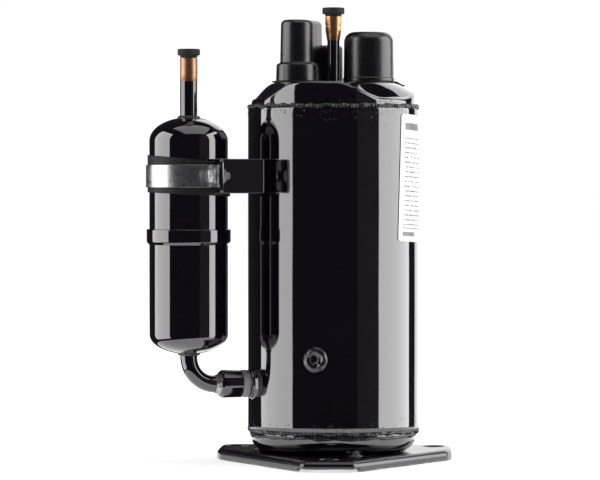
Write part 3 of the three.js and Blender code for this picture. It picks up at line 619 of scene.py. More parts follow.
@dataclass(frozen=True)
class GlossEnamel(Finish):
    """Thick stoved enamel: near-black, wet-looking, with faint orange peel, haze and dust."""

    dust: float = 0.35
    peel: float = 0.012
    worn_below: float = -100.0
    coat: float = 1.0

    def dress(self, s: Shader) -> None:
        """Colour, haze and dust from noise; peel as bump; bare metal at low edges if worn.

        Args:
            s: The tree being built.
        """
        haze = s.noise(46.0, 4.0, 0.6).between(0.45, 0.75)
        fleck = s.cells(2.6).between(0.05, 0.11, 1.0, 0.0)
        patch = s.noise(19.0, 2.0).between(0.52, 0.7)
        dust = fleck * patch * self.dust
        streak = s.noise(5.0, 3.0, 0.6, stretch=(1.0, 1.0, 0.12)).between(0.6, 0.85)
        tone = s.blend(dust, self.colour, (0.16, 0.15, 0.16))
        tone = s.blend(haze * 0.25, tone, tuple(2.2 * c for c in self.colour))
        rough = haze * 0.035 + streak * 0.03 + dust * 0.3 + self.roughness
        fine = s.bump(s.noise(1.7, 2.0, 0.5), self.peel)
        normal = s.bump(s.noise(24.0, 1.0, 0.4), 0.05, fine)
        s.set(IOR=1.55, Coat_Weight=self.coat, Coat_Roughness=0.03, Coat_IOR=1.85, Specular_IOR_Level=0.5)
        if self.worn_below > -50.0:
            height = s.axis("Z")
            ragged = height + (s.noise(1.6, 4.0, 0.7) - 0.5) * 3.4
            wear = ragged.between(self.worn_below, self.worn_below + 0.8, 1.0, 0.0)
            wear = wear * s.noise(7.0, 2.0).between(0.42, 0.6)
            tone = s.blend(wear, tone, (0.23, 0.225, 0.22))
            rough = rough + wear * 0.3
            s.set(Metallic=wear * 0.8, Coat_Weight=(1.0 - wear) * self.coat)
        s.set(Base_Color=tone, Roughness=rough, Normal=normal)


@dataclass(frozen=True)
class EnamelledWeld(Finish):
    """Weld metal under enamel: the same black with the bead's ripples and pits showing through."""

    depth: float = 0.35
    shine: float = 0.6
    bloom: float = 3.0

    def dress(self, s: Shader) -> None:
        """Pits and grains as bump, and patches that are paler or darker.

        Args:
            s: The tree being built.
        """
        pits = s.cells(1.1).between(0.0, 0.5)
        grain = s.noise(0.8, 4.0, 0.65)
        bloom = s.noise(6.0, 3.0).between(0.5, 0.72)
        tone = s.blend(bloom * 0.6, self.colour, tuple(self.bloom * c for c in self.colour))
        normal = s.bump(grain, self.depth, s.bump(pits, self.depth * 0.7))
        rough = grain * 0.25 + bloom * 0.15 + self.roughness
        s.set(Base_Color=tone, Roughness=rough, Metallic=bloom * 0.4, Normal=normal,
              Coat_Weight=self.shine, Coat_Roughness=0.08, Coat_IOR=1.7)


@dataclass(frozen=True)
class PaintedTube(Finish):
    """Copper tube whose lower part is dipped in black enamel up to a ragged line."""

    paint_line: float = 0.0
    paint: Colour = (0.003, 0.0015, 0.004)

    def dress(self, s: Shader) -> None:
        """Drawn copper with heat tint above the line, gloss enamel below it.

        Args:
            s: The tree being built.
        """
        height = s.axis("Z")
        edge = height + (s.noise(2.2, 3.0, 0.6) - 0.5) * 1.6
        bare = edge.between(self.paint_line - 0.15, self.paint_line + 0.15)
        drawn = s.noise(0.9, 3.0, 0.6, stretch=(1.0, 1.0, 0.05))
        tint = s.noise(5.0, 3.0, 0.55).between(0.42, 0.68)
        tarnish = tuple(c * f for c, f in zip(self.colour, (0.62, 0.48, 0.4)))
        copper = s.blend(tint * 0.7, self.colour, tarnish)
        spot = s.noise(1.4, 3.0, 0.7).between(0.62, 0.72)
        copper = s.blend(spot * 0.5, copper, (0.09, 0.045, 0.03))
        lip = s.bump(edge.between(self.paint_line - 0.4, self.paint_line + 0.4), -0.12)
        heat = (edge - self.paint_line).between(0.0, 5.0, 1.0, 0.0)
        copper = s.blend(heat * 0.45, copper, (0.11, 0.05, 0.035))
        s.set(Base_Color=s.blend(bare, self.paint, copper), Metallic=bare * 0.92,
              Roughness=bare * (drawn * 0.18 + tint * 0.1 + self.roughness) + (1.0 - bare) * 0.07,
              Coat_Weight=1.0 - bare, Coat_Roughness=0.03, Coat_IOR=1.85, Normal=s.bump(drawn, 0.02, lip))


@dataclass(frozen=True)
class BareMetal(Finish):
    """Metal with a drawn or turned grain, stains and a little oil."""

    stain: Colour = (0.12, 0.11, 0.1)
    stretch: tuple[float, float, float] = (1.0, 1.0, 1.0)
    grain: float = 0.6
    depth: float = 0.02
    metallic: float = 0.95
    stained: float = 0.5

    def dress(self, s: Shader) -> None:
        """Grain in roughness and bump, broad stains in colour.

        Args:
            s: The tree being built.
        """
        grain = s.noise(self.grain, 4.0, 0.6, stretch=self.stretch)
        cloud = s.noise(9.0, 4.0, 0.6).between(0.42, 0.7)
        tone = s.blend(cloud * self.stained, self.colour, self.stain)
        tone = s.blend(grain.between(0.3, 0.8) * 0.3, tone, tuple(0.6 * c for c in self.colour))
        s.set(Base_Color=tone, Metallic=self.metallic, Normal=s.bump(grain, self.depth),
              Roughness=grain * 0.22 + cloud * 0.14 + self.roughness - 0.1)


@dataclass(frozen=True)
class GalvanisedStrip(Finish):
    """Zinc-coated strip: large soft spangles, rolling lines along it and a few scuffs."""

    def dress(self, s: Shader) -> None:
        """Spangles from cells, rolling lines from noise drawn out along the plan.

        Args:
            s: The tree being built.
        """
        spangle = s.node("ShaderNodeSeparateColor", {}, {0: s.cells(5.0, "Color")}, 0)
        rolled = s.noise(0.5, 3.0, 0.6, stretch=(0.05, 0.05, 1.0))
        scuff = s.noise(3.0, 4.0, 0.7, stretch=(0.3, 0.3, 1.0)).between(0.62, 0.72)
        tone = s.blend(spangle * 0.35, self.colour, tuple(0.62 * c for c in self.colour))
        tone = s.blend(rolled.between(0.35, 0.75) * 0.3, tone, (0.5, 0.5, 0.51))
        tone = s.blend(scuff * 0.5, tone, (0.12, 0.12, 0.125))
        s.set(Base_Color=tone, Metallic=0.95, Normal=s.bump(rolled, 0.015, s.bump(spangle, 0.01)),
              Roughness=spangle * 0.12 + rolled * 0.14 + scuff * 0.15 + self.roughness)


@dataclass(frozen=True)
class Rubber(Finish):
    """Matt moulded rubber with fine grain, bloom and dust."""

    def dress(self, s: Shader) -> None:
        """Fine grain as bump, pale bloom in patches.

        Args:
            s: The tree being built.
        """
        grain = s.noise(0.35, 4.0, 0.7)
        bloom = s.noise(4.0, 4.0, 0.6).between(0.48, 0.75)
        tone = s.blend(bloom * 0.45, self.colour, tuple(c * 2.2 + 0.01 for c in self.colour))
        s.set(Base_Color=tone, Roughness=grain * 0.2 + self.roughness, Specular_IOR_Level=0.35,
              Normal=s.bump(grain, 0.05, s.bump(bloom, 0.03)))


@dataclass(frozen=True)
class MouldedPlastic(Finish):
    """Satin moulded plastic with a spark-eroded texture, faint flow marks and rub marks."""

    texture: float = 0.03

    def dress(self, s: Shader) -> None:
        """Fine texture as bump; rubbed places are smoother and a little paler.

        Args:
            s: The tree being built.
        """
        fine = s.noise(0.3, 3.0, 0.6)
        flow = s.noise(14.0, 3.0, 0.5, stretch=(1.0, 1.0, 0.4)).between(0.35, 0.75)
        rub = s.noise(5.5, 4.0, 0.7).between(0.58, 0.72)
        dust = s.cells(1.7).between(0.03, 0.09, 1.0, 0.0) * s.noise(7.0, 1.0).between(0.5, 0.7)
        tone = s.blend(flow * 0.35, self.colour, tuple(1.7 * c for c in self.colour))
        tone = s.blend(rub * 0.3, tone, tuple(2.4 * c for c in self.colour))
        tone = s.blend(dust * 0.4, tone, (0.2, 0.2, 0.2))
        s.set(Base_Color=tone, Roughness=fine * 0.12 + flow * 0.05 - rub * 0.06 + self.roughness,
              Specular_IOR_Level=1.0, Normal=s.bump(fine, self.texture, s.bump(rub, 0.01)))


@dataclass(frozen=True)
class CastMetal(Finish):
    """Sand-cast or sintered metal with a machined look on top."""

    def dress(self, s: Shader) -> None:
        """Cells for the cast skin and rings for the tool marks.

        Args:
            s: The tree being built.
        """
        skin = s.cells(0.9).between(0.0, 0.6)
        rings = (s.axis("Z") * 9.0 + s.noise(3.0) * 1.5).wave() * 0.5 + 0.5
        cloud = s.noise(12.0, 4.0, 0.6).between(0.4, 0.7)
        tone = s.blend(cloud * 0.5, self.colour, tuple(0.55 * c for c in self.colour))
        s.set(Base_Color=s.blend(skin * 0.2, tone, tuple(1.35 * c for c in self.colour)), Metallic=0.85,
              Roughness=skin * 0.15 + cloud * 0.12 + self.roughness,
              Normal=s.bump(skin, 0.05, s.bump(rings, 0.01)))


@dataclass(frozen=True)
class Laminations(Finish):
    """A stack of punched electrical sheets, seen as fine lines on its sides."""

    sheet: float = 0.5

    def dress(self, s: Shader) -> None:
        """A sharp line each sheet up the height, with blued patches.

        Args:
            s: The tree being built.
        """
        line = (s.axis("Z") * (math.pi / self.sheet)).wave().size()
        blued = s.noise(8.0, 4.0, 0.6).between(0.45, 0.7)
        tone = s.blend(blued * 0.6, self.colour, (0.06, 0.075, 0.11))
        tone = s.blend(line.between(0.0, 0.35, 0.7, 0.0), tone, (0.03, 0.03, 0.032))
        s.set(Base_Color=tone, Metallic=0.8, Roughness=blued * 0.1 + self.roughness,
              Normal=s.bump(line, 0.06))


@dataclass(frozen=True)
class Windings(Finish):
    """Enamelled copper wire in bundles, tied and varnished."""

    wire: float = 0.9

    def dress(self, s: Shader) -> None:
        """Wires run round the axis, so their lines follow height and radius, shaken by noise. The grooves
        between the wires are darkened with painted shade.

        Args:
            s: The tree being built.
        """
        x, y, z = s.axis("X"), s.axis("Y"), s.axis("Z")
        radius = (x * x + y * y) ** 0.5
        shake = s.noise(6.0, 2.0) * 2.4
        coil = ((radius + z * 0.8 + shake) * (math.pi / self.wire)).wave().size()
        varnish = s.noise(5.0, 3.0).between(0.45, 0.7)
        tone = s.blend(varnish * 0.6, self.colour, (0.2, 0.06, 0.015))
        # painted shade: the grooves between the wires are darkened
        tone = s.blend(coil.between(0.0, 0.4, 0.85, 0.0), tone, (0.02, 0.008, 0.004))
        s.set(Base_Color=tone, Metallic=0.55, Roughness=varnish * -0.1 + self.roughness,
              Coat_Weight=0.5, Normal=s.bump(coil, 0.25))


@dataclass(frozen=True)
class BraidedSleeve(Finish):
    """Woven glass sleeving over the leads."""

    def dress(self, s: Shader) -> None:
        """Two crossing families of strands.

        Args:
            s: The tree being built.
        """
        x, y, z = s.axis("X"), s.axis("Y"), s.axis("Z")
        first = ((x + y + z) * 3.6).wave()
        second = ((x + y - z) * 3.6).wave()
        weave = first * second * 0.5 + 0.5
        soil = s.noise(7.0, 3.0).between(0.45, 0.75)
        tone = s.blend(soil * 0.5, self.colour, (0.34, 0.28, 0.2))
        s.set(Base_Color=s.blend(weave * 0.35, tone, (0.3, 0.26, 0.2)),
              Roughness=weave * 0.15 + self.roughness, Normal=s.bump(weave, 0.2))


@dataclass(frozen=True)
class PrintedSticker(Finish):
    """A white sticker with plain grey rules and bars; the marks are read from its own sheet."""

    ink: Colour = (0.055, 0.055, 0.06)
    width: float = 74.0
    height: float = 94.5

    @staticmethod
    def bar(across: Value, up: Value, place: tuple[float, float, float, float]) -> Value:
        """One bar between two lines across and two lines up, as 1 inside and 0 outside.

        Args:
            across: Distance across the sheet.
            up: Distance up the sheet.
            place: Left, right, bottom and top.

        Returns:
            The mask.
        """
        left, right, low, high = place
        soft = 0.12
        inside = across.between(left - soft, left + soft)
        inside = inside * across.between(right - soft, right + soft, 1.0, 0.0)
        return inside * up.between(low - soft, low + soft) * up.between(high - soft, high + soft, 1.0, 0.0)

    def dress(self, s: Shader) -> None:
        """Rows of broken dashes in columns, a frame of rules and three solid bars.

        Args:
            s: The tree being built.
        """
        sheet = s.node("ShaderNodeAttribute", {"attribute_name": "sheet"}, {}, "Vector")
        across = s.node("ShaderNodeSeparateXYZ", {}, {0: sheet}, 0)
        up = s.node("ShaderNodeSeparateXYZ", {}, {0: sheet}, 1)
        pitch = 3.5
        row = (up / pitch).part().between(0.36, 0.42) * (up / pitch).part().between(0.62, 0.68, 1.0, 0.0)
        step = (up / pitch).whole()
        joined = s.node("ShaderNodeCombineXYZ", {}, {0: across * 0.42, 1: step * 7.3, 2: 0.0})
        dash = s.node("ShaderNodeTexNoise", {}, {"Vector": joined, "Scale": 1.0, "Detail": 1.0}, "Fac")
        printed = self.bar(across, up, (5.0, self.width - 6.0, 12.0, self.height - 22.0))
        ink = row * dash.between(0.44, 0.47) * printed
        for place in ((4.0, self.width - 4.0, self.height - 19.5, self.height - 18.9),
                      (4.0, self.width - 4.0, 9.5, 10.1), (5.0, 30.0, self.height - 13.0, self.height - 8.0),
                      (36.0, 58.0, self.height - 12.0, self.height - 10.6), (5.0, 22.0, 4.0, 7.0)):
            ink = ink + self.bar(across, up, place)
        ink = ink.between(0.05, 0.95)
        paper = s.noise(0.5, 3.0, 0.6)
        wash = s.noise(16.0, 3.0, 0.5).between(0.4, 0.7)
        tone = s.blend(wash * 0.35, self.colour, (0.74, 0.735, 0.72))
        s.set(Base_Color=s.blend(ink * 0.8, tone, self.ink), Coat_Weight=0.25, Coat_Roughness=0.12,
              Roughness=paper * 0.1 + wash * 0.08 + self.roughness, Normal=s.bump(paper, 0.012))


@dataclass(frozen=True)
class PaleFloor(Finish):
    """A plain pale studio floor that brightens away from the object until it meets the surround."""

    def dress(self, s: Shader) -> None:
        """A faint mottle over near-white, and a glow that grows with the distance from the middle.

        Args:
            s: The tree being built.
        """
        mottle = s.noise(60.0, 2.0)
        x, y = s.axis("X"), s.axis("Y")
        away = ((x * x + y * y) ** 0.5).between(300.0, 2600.0, 0.6, 1.0)
        s.set(Base_Color=s.blend(mottle * 0.3, self.colour, tuple(0.97 * c for c in self.colour)),
              Roughness=0.9, Specular_IOR_Level=0.0, Emission_Strength=1.0,
              Emission_Color=s.blend(away, (0.0, 0.0, 0.0), (1.0, 1.0, 1.0)))


BLACK: Colour = (0.0032, 0.0013, 0.0048)
ENAMEL = GlossEnamel("gloss_enamel", BLACK, 0.06)
PLATE_ENAMEL = GlossEnamel("plate_enamel", BLACK, 0.26, dust=1.0, peel=0.16, worn_below=-4.3, coat=0.45)
WELD = EnamelledWeld("enamelled_weld", (0.0035, 0.0018, 0.0048), 0.2, shine=0.5)
PLUG_FINISH = EnamelledWeld("enamelled_plug_weld", (0.004, 0.002, 0.0055), 0.12, depth=0.12, shine=0.7)
BRAZE = EnamelledWeld("braze_metal", (0.4, 0.34, 0.385), 0.34, depth=0.4, shine=0.3, bloom=0.55)
BRIGHT_BRAZE = BareMetal("bright_braze", (0.58, 0.55, 0.55), 0.36, stain=(0.32, 0.28, 0.27),
                         grain=1.1, depth=0.12)
RUBBER = Rubber("plug_rubber", (0.022, 0.021, 0.022), 0.62)
STRIP_RUBBER = Rubber("strip_rubber", (0.012, 0.011, 0.012), 0.5)
MOULDED = MouldedPlastic("moulded_cover", (0.006, 0.005, 0.0065), 0.2)
GALVANISED = GalvanisedStrip("galvanised_strip", (0.62, 0.62, 0.63), 0.15)
ZINC = BareMetal("zinc_plate", (0.62, 0.62, 0.63), 0.3, stain=(0.22, 0.2, 0.16), grain=0.4)
STICKER = PrintedSticker("printed_sticker", (0.84, 0.84, 0.835), 0.42)
TURNED = BareMetal("turned_steel", (0.4, 0.4, 0.41), 0.3, stretch=(0.2, 0.2, 3.0), grain=0.5)
SPRING = BareMetal("spring_steel", (0.3, 0.31, 0.34), 0.3, stain=(0.12, 0.11, 0.15), grain=0.4)
IRON = CastMetal("cast_iron", (0.13, 0.13, 0.135), 0.5)
ALUMINIUM = CastMetal("cast_aluminium", (0.52, 0.53, 0.54), 0.4)
CORE = Laminations("laminated_core", (0.16, 0.165, 0.175), 0.42)
WIRE = Windings("enamelled_wire", (0.5, 0.17, 0.05), 0.4)
SLEEVING = BraidedSleeve("glass_sleeve", (0.7, 0.66, 0.56), 0.7)


# ---------------------------------------------------------------- casing
@dataclass
class Casing:
    """Drawn shell, pressed caps, the two girth welds with their spatter, and the plug welds."""

    shell: Extent = field(default_factory=lambda: Extent.of("casing_shell"))
    top_cap: Extent = field(default_factory=lambda: Extent.of("top_cap"))
    bottom_cap: Extent = field(default_factory=lambda: Extent.of("bottom_cap"))
    wall: float = 2.5
    cap_radius: float = 60.4
    lobes: tuple[tuple[float, float], ...] = ((240.0, 1.0), (0.0, 0.5))
    shelf: float = 262.6
    pad_radius: float = 42.0
    edge: float = 3.0

    @property
    def radius(self) -> float:
        """Outside radius of the shell."""
        return float(self.shell.high[0])

    def build(self) -> None:
        """Makes every piece of the casing."""
        self.build_shell()
        self.build_top_cap()
        self.build_bottom_cap()
        self.build_bead("top_girth_weld", "top_weld_bead", float(self.shell.high[2]), 1.0, 7)
        self.build_bead("bottom_girth_weld", "bottom_weld_bead", float(self.shell.low[2]), -1.0, 19)
        self.build_spatter()
        for number in (1, 2, 3):
            self.build_plug_weld(number)

    def build_shell(self) -> None:
        """Rolled shell: a tube with rounded rims, out of true by a few hundredths."""
        low, high = self.shell.low[2], self.shell.high[2]
        outside = np.linspace(low + 1, high - 1, 60)
        profile = np.vstack([
            [(self.radius - self.wall, low), (self.radius - 0.6, low), (self.radius - 0.15, low + 0.3)],
            np.stack([np.full(60, self.radius), outside], axis=-1),
            [(self.radius - 0.15, high - 0.3), (self.radius - 0.6, high), (self.radius - self.wall, high)],
        ])
        angle = np.linspace(0, 2 * np.pi, 256, endpoint=False)[None]
        rise = (profile[:, 1:] - low) / (high - low)
        out_of_true = 0.035 * waves(angle, 3, 2, 7, 6, across=3.0 * rise)
        surface = revolve(profile, 256, radial=out_of_true)
        make_piece("rolled_shell", surface, ENAMEL, stands_for=["casing_shell"])

    def cap_height(self, radius: Array, angle: Array) -> Array:
        """Height of the top cap's pressed face.

        The rim stands at the shelf, and at each lobe (its direction and its share) it rises towards
        the pad. Inward from the rim the face climbs steeply at first and levels out at the pad's radius.

        Args:
            radius: Distances from the axis.
            angle: Directions, in radians.

        Returns:
            The heights.
        """
        pad = self.top_cap.high[2]
        turn = np.degrees(angle)
        lobe = np.zeros_like(turn)
        for middle, share in self.lobes:
            away = np.abs((turn - middle + 180) % 360 - 180)
            lobe = np.maximum(lobe, share * (1 - ramp(away, 12.0, 50.0)))
        rim = self.shelf + (pad - self.shelf) * lobe
        rim_radius = self.cap_radius - self.edge
        climb = np.clip((rim_radius - radius) / (rim_radius - self.pad_radius), 0, 1)
        return rim + (pad - rim) * np.sin(climb * np.pi / 2)

    def build_top_cap(self) -> None:
        """Pressed cap: face, rounded rim, straight wall and the same again inside."""
        angle = np.linspace(0, 2 * np.pi, 288, endpoint=False)[None]
        rim_radius = self.cap_radius - self.edge
        face = np.linspace(0, rim_radius, 70)[:, None]
        t = np.linspace(0, np.pi / 2, 9)[1:, None]
        bend = rim_radius + self.edge * np.sin(t)
        bend_height = self.cap_height(np.full_like(t, rim_radius), angle) - self.edge * (1 - np.cos(t))
        wall_share = np.linspace(0, 1, 9)[1:, None]
        wall_top = bend_height[-1:]
        bottom = self.top_cap.low[2]
        wall_height = wall_top + (bottom - wall_top) * wall_share
        radius = np.vstack([face, bend, np.full_like(wall_share, self.cap_radius)]) + 0 * angle
        height = np.vstack([self.cap_height(face, angle), bend_height, wall_height])
        inner_radius = np.minimum(radius, self.cap_radius - self.wall)[::-1]
        inner_height = np.where(radius < rim_radius, height - self.wall, height - 0.6 * self.wall)[::-1]
        inner_height[0] = bottom
        radius, height = np.vstack([radius, inner_radius]), np.vstack([height, inner_height])
        points = circled(radius, angle, height)
        make_piece("pressed_top_cap", grid(points), ENAMEL, stands_for=["top_cap"], crease=60)

    def build_bottom_cap(self) -> None:
        """Pressed cap with a generous bend from its wall to its flat."""
        flat, rim = self.bottom_cap.low[2], self.bottom_cap.high[2]
        r = self.cap_radius + 0.3
        outside = rounded([(0, flat), (r, flat), (r, rim)], [0, 10.5, 0], closed=False, steps=14)
        inside = rounded([(r - self.wall, rim), (r - self.wall, flat + self.wall), (0, flat + self.wall)],
                         [0, 8.0, 0], closed=False, steps=10)
        surface = revolve(np.vstack([outside, inside]), 200, closed=False)
        make_piece("pressed_bottom_cap", surface, ENAMEL, stands_for=["bottom_cap"])

    def build_bead(self, name: str, node: str, edge: float, way: float, seed: int) -> None:
        """Girth weld: a half-round bead whose size, height and ripples wander round the shell.

        Under the bottom bead the torch has left a second, smaller ridge on the cap.

        Args:
            name: The piece's name.
            node: The node it stands for.
            edge: Height of the joint.
            way: Side of the joint the cap is on, 1 above or -1 below.
            seed: Seed of the draw.
        """
        angle = np.linspace(0, 2 * np.pi, 1440, endpoint=False)[None]
        turn = np.linspace(0, 2 * np.pi, 18, endpoint=False)[:, None]
        size = 1.6 + 0.3 * waves(angle, seed, 9, 60, 16) + 0.26 * waves(angle, seed + 1, 90, 260, 20, turn)
        drift = 2.0 * waves(angle, seed + 4, 5, 30, 8)
        ripple = 0.18 * np.abs(np.sin(64 * angle + 1.4 * np.sin(turn) + drift))
        wander = 0.55 * waves(angle, seed + 2, 3, 34, 12)
        centre_radius = self.radius - 1.6 + 0.16 * waves(angle, seed + 3, 5, 40, 8)
        radius = centre_radius + (size + ripple) * np.cos(turn)
        height = edge + way * (1.0 + wander) + (size * 0.95 + ripple) * np.sin(turn)
        surface = grid(circled(radius, angle, height), wrap_rows=True)
        if way < 0:
            low = 1.25 + 0.2 * waves(angle, seed + 5, 7, 50, 14)
            low = low + 0.12 * waves(angle, seed + 6, 90, 240, 16, turn)
            radius = self.cap_radius - 0.2 + low * np.cos(turn)
            height = edge - 4.6 + 0.5 * waves(angle, seed + 7, 3, 24, 10) + low * np.sin(turn)
            surface = surface + grid(circled(radius, angle, height), wrap_rows=True)
        make_piece(name, surface, WELD, stands_for=[node], crease=80)

    def build_spatter(self) -> None:
        """Weld spatter: small flattened drops scattered on the shell and cap beside both welds."""
        chance = np.random.default_rng(41)
        count = 300
        theta = np.linspace(0, 2 * np.pi, 8, endpoint=False)[None, None]
        phi = np.linspace(0.02, np.pi - 0.02, 6)[None, :, None]
        size = chance.uniform(0.22, 0.62, count)[:, None, None]
        where = chance.uniform(0, 2 * np.pi, count)[:, None, None]
        top = (chance.random(count) < 0.6)[:, None, None]
        away = np.abs(chance.normal(0, 3.2, count))[:, None, None]
        height = np.where(top, self.shell.high[2] - 1.5 - away, self.shell.low[2] + 1.5 + away)
        height = np.where(top & (chance.random(count) < 0.35)[:, None, None], self.shell.high[2] + 2.5
                          + away * 0.6, height)
        stand = np.where(height > self.shell.high[2], self.cap_radius, self.radius)
        radius = stand + 0.45 * size * np.sin(phi) * np.cos(theta)
        across = size * np.sin(phi) * np.sin(theta) / self.radius
        points = circled(radius, where + across, height + size * np.cos(phi) + 0 * theta)
        index = np.arange(count * 48).reshape(count, 6, 8)
        around = np.roll(index, -1, axis=2)
        quads = np.stack([index[:, :-1], around[:, :-1], around[:, 1:], index[:, 1:]], axis=-1).reshape(-1, 4)
        ends = np.concatenate([index[:, 0, ::-1], index[:, -1]])
        surface = Surface(points.reshape(-1, 3), [quads, ends])
        make_piece("weld_spatter", surface, PLUG_FINISH, crease=80)

    def build_plug_weld(self, number: int) -> None:
        """Plug weld: a raised ring round a sunk middle, its skin drawn off to one side as it set.

        Height over the shell is a ring's bell curve, less a bell at the middle, plus noise that dies
        away at the rim; the back closes below the shell.

        Args:
            number: Which of the three welds.
        """
        node = f"plug_weld_{number}"
        middle = Extent.of(node).centre
        turn = math.atan2(middle[1], middle[0])
        angle = np.linspace(0, 2 * np.pi, 96, endpoint=False)[None]
        reach = np.linspace(0, 10.2, 40)[:, None]
        ring = 1.25 * np.exp(-((reach - 5.9 - 0.5 * np.sin(angle + 0.8)) / 1.9) ** 2)
        drawn = 0.7 * np.exp(-((reach - 2.4) / 1.1) ** 2) * np.cos(angle - 2.2)
        pit = -0.9 * np.exp(-(reach / 2.6) ** 2) + drawn
        rough = 0.16 * waves(angle, 60 + number, 2, 9, 8, across=reach * 0.8) * ramp(10 - reach, 0, 4)
        skirt = -0.9 * ramp(reach, 8.2, 10.2)
        height = ring + pit + rough + 0.35 * (1 - ramp(reach, 7.0, 9.5)) + skirt
        back = np.full_like(height[:1], -1.6)
        reach = np.vstack([reach, [[9.0]], [[0.0]]])
        height = np.vstack([height, back, back])
        stand = self.radius + height
        along = reach * np.sin(angle) / self.radius
        points = circled(stand, turn + along, middle[2] + reach * np.cos(angle) * 1.04 + 0 * height)
        make_piece(f"plug_weld_skin_{number}", grid(points), PLUG_FINISH, stands_for=[node],
                   crease=80)


# ---------------------------------------------------------------- mounting plate
@dataclass
class MountingPlate:
    """Pressed three-foot plate: a flat with a lip bent down all round, relieved at its front foot."""

    node: Extent = field(default_factory=lambda: Extent.of("mounting_plate"))
    thickness: float = 2.8
    lip: float = 8.0
    bend: float = 4.0
    turn: float = 160.0
    hole_radius: float = 7.5
    foot_radius: float = 85.5
    corners: tuple[tuple[float, float], ...] = (
        (18.5, 103.0), (84.6, -7.0), (87.5, -20.0), (87.5, -62.0),
        (-87.5, -62.0), (-87.5, -20.0), (-84.6, -7.0), (-18.5, 103.0))
    radii: tuple[float, ...] = (5.5, 12.0, 14.0, 13.0, 13.0, 14.0, 12.0, 5.5)

    def turned(self, plan: Array) -> Array:
        """Plan points turned to the plate's place under the shell."""
        a = math.radians(self.turn)
        return plan @ np.array([[math.cos(a), math.sin(a)], [-math.sin(a), math.cos(a)]])

    def outline(self) -> Array:
        """The line where the flat ends and the bend starts, drawn with the front foot forward.

        Returns:
            Points of the line.
        """
        outer = lengthwise(rounded(self.corners, self.radii, steps=8), closed=True, step=1.2)
        along = np.roll(outer, -1, axis=0) - np.roll(outer, 1, axis=0)
        along /= np.linalg.norm(along, axis=1, keepdims=True)
        return outer + np.stack([along[:, 1], -along[:, 0]], axis=-1) * self.bend

    def build(self) -> None:
        """Makes the flat with its holes, the lip, and the welds to the bottom cap."""
        edge = self.outline()
        self.build_flat(edge)
        self.build_lip(edge)
        self.build_foot_welds()

    def build_flat(self, edge: Array) -> None:
        """Flat sheet filled between its outline and three holes, with a burred rim at each hole.

        Args:
            edge: The outline.
        """
        curve = bpy.data.curves.new("plate_outline", "CURVE")
        curve.dimensions, curve.fill_mode = "2D", "BOTH"
        curve.extrude = self.thickness / 2 * MM
        theta = np.linspace(0, 2 * np.pi, 48, endpoint=False)
        loops = [self.turned(edge)]
        for angle in (90, 210, 330):
            at = math.radians(angle)
            centre = self.foot_radius * np.array([math.cos(at), math.sin(at)])
            ring = centre + self.hole_radius * np.stack([np.cos(theta), np.sin(theta)], axis=-1)
            loops.append(self.turned(ring))
        for loop in loops:
            spline = curve.splines.new("POLY")
            spline.points.add(len(loop) - 1)
            flat = np.hstack([loop * MM, np.zeros((len(loop), 1)), np.ones((len(loop), 1))])
            spline.points.foreach_set("co", flat.ravel())
            spline.use_cyclic_u = True
        holder = bpy.data.objects.new("plate_outline", curve)
        bpy.context.scene.collection.objects.link(holder)
        bpy.context.view_layer.update()
        filled = bpy.data.meshes.new_from_object(holder.evaluated_get(bpy.context.evaluated_depsgraph_get()))
        points = np.empty(len(filled.vertices) * 3)
        filled.vertices.foreach_get("co", points)
        points = points.reshape(-1, 3) / MM + (0, 0, self.thickness / 2)
        surface = Surface(points, [np.array([face.vertices[:]]) for face in filled.polygons])
        bpy.data.objects.remove(holder)
        for loop in loops[1:]:
            centre = loop.mean(axis=0)
            burr = rounded([(self.hole_radius - 0.15, 0.1), (self.hole_radius + 1.1, self.thickness - 0.4),
                            (self.hole_radius + 0.9, self.thickness + 0.16),
                            (self.hole_radius - 0.15, self.thickness + 0.16)], [0.1, 0.3, 0.4, 0.7], steps=4)
            surface = surface + revolve(burr, 64, (float(centre[0]), float(centre[1])))
        make_piece("plate_flat", surface, PLATE_ENAMEL, stands_for=["mounting_plate"], crease=30)

    def build_lip(self, edge: Array) -> None:
        """Lip: a bend and a straight wall carried round the outline.

        Its depth is full along the sides and falls to little more than the bend at the two reliefs
        beside the front foot, and the front foot's own lip is a millimetre shorter.

        Args:
            edge: The outline.
        """
        forward = edge[:, 1]
        notch = np.exp(-((forward - 97.0) / 2.2) ** 2)
        depth = self.lip - 3.6 * notch - 0.9 * ramp(forward, 98.0, 99.5) + 0.12 * np.sin(edge[:, 0] * 0.21)
        t = np.linspace(0, np.pi / 2, 8)[None]
        bend, wall, top = self.bend, self.thickness - 0.2, self.thickness
        outer_bend = np.stack([bend * np.sin(t), top - bend * (1 - np.cos(t))], axis=-1)
        inner_bend = np.stack([(bend - wall) * np.sin(t), top - bend + (bend - wall) * np.cos(t)], axis=-1)
        low = (top - depth)[:, None]
        outer_foot = np.stack([np.full_like(low, bend), low + 0.7], axis=-1)
        outer_round = np.stack([np.full_like(low, bend - 0.5), low], axis=-1)
        inner_round = np.stack([np.full_like(low, bend - wall + 0.5), low], axis=-1)
        inner_foot = np.stack([np.full_like(low, bend - wall), low + 0.6], axis=-1)
        every = len(edge)
        section = np.concatenate([np.repeat(outer_bend, every, 0), outer_foot, outer_round, inner_round,
                                  inner_foot, np.repeat(inner_bend, every, 0)[:, ::-1]], axis=1)
        path = self.turned(edge)
        along = np.roll(path, -1, axis=0) - np.roll(path, 1, axis=0)
        left = np.stack([-along[:, 1], along[:, 0]], axis=-1)
        way = 1.0 if np.sum(left * path) > 0 else -1.0
        section[..., 0] *= way
        make_piece("plate_lip", carried(path, section, closed=True), PLATE_ENAMEL, crease=50)

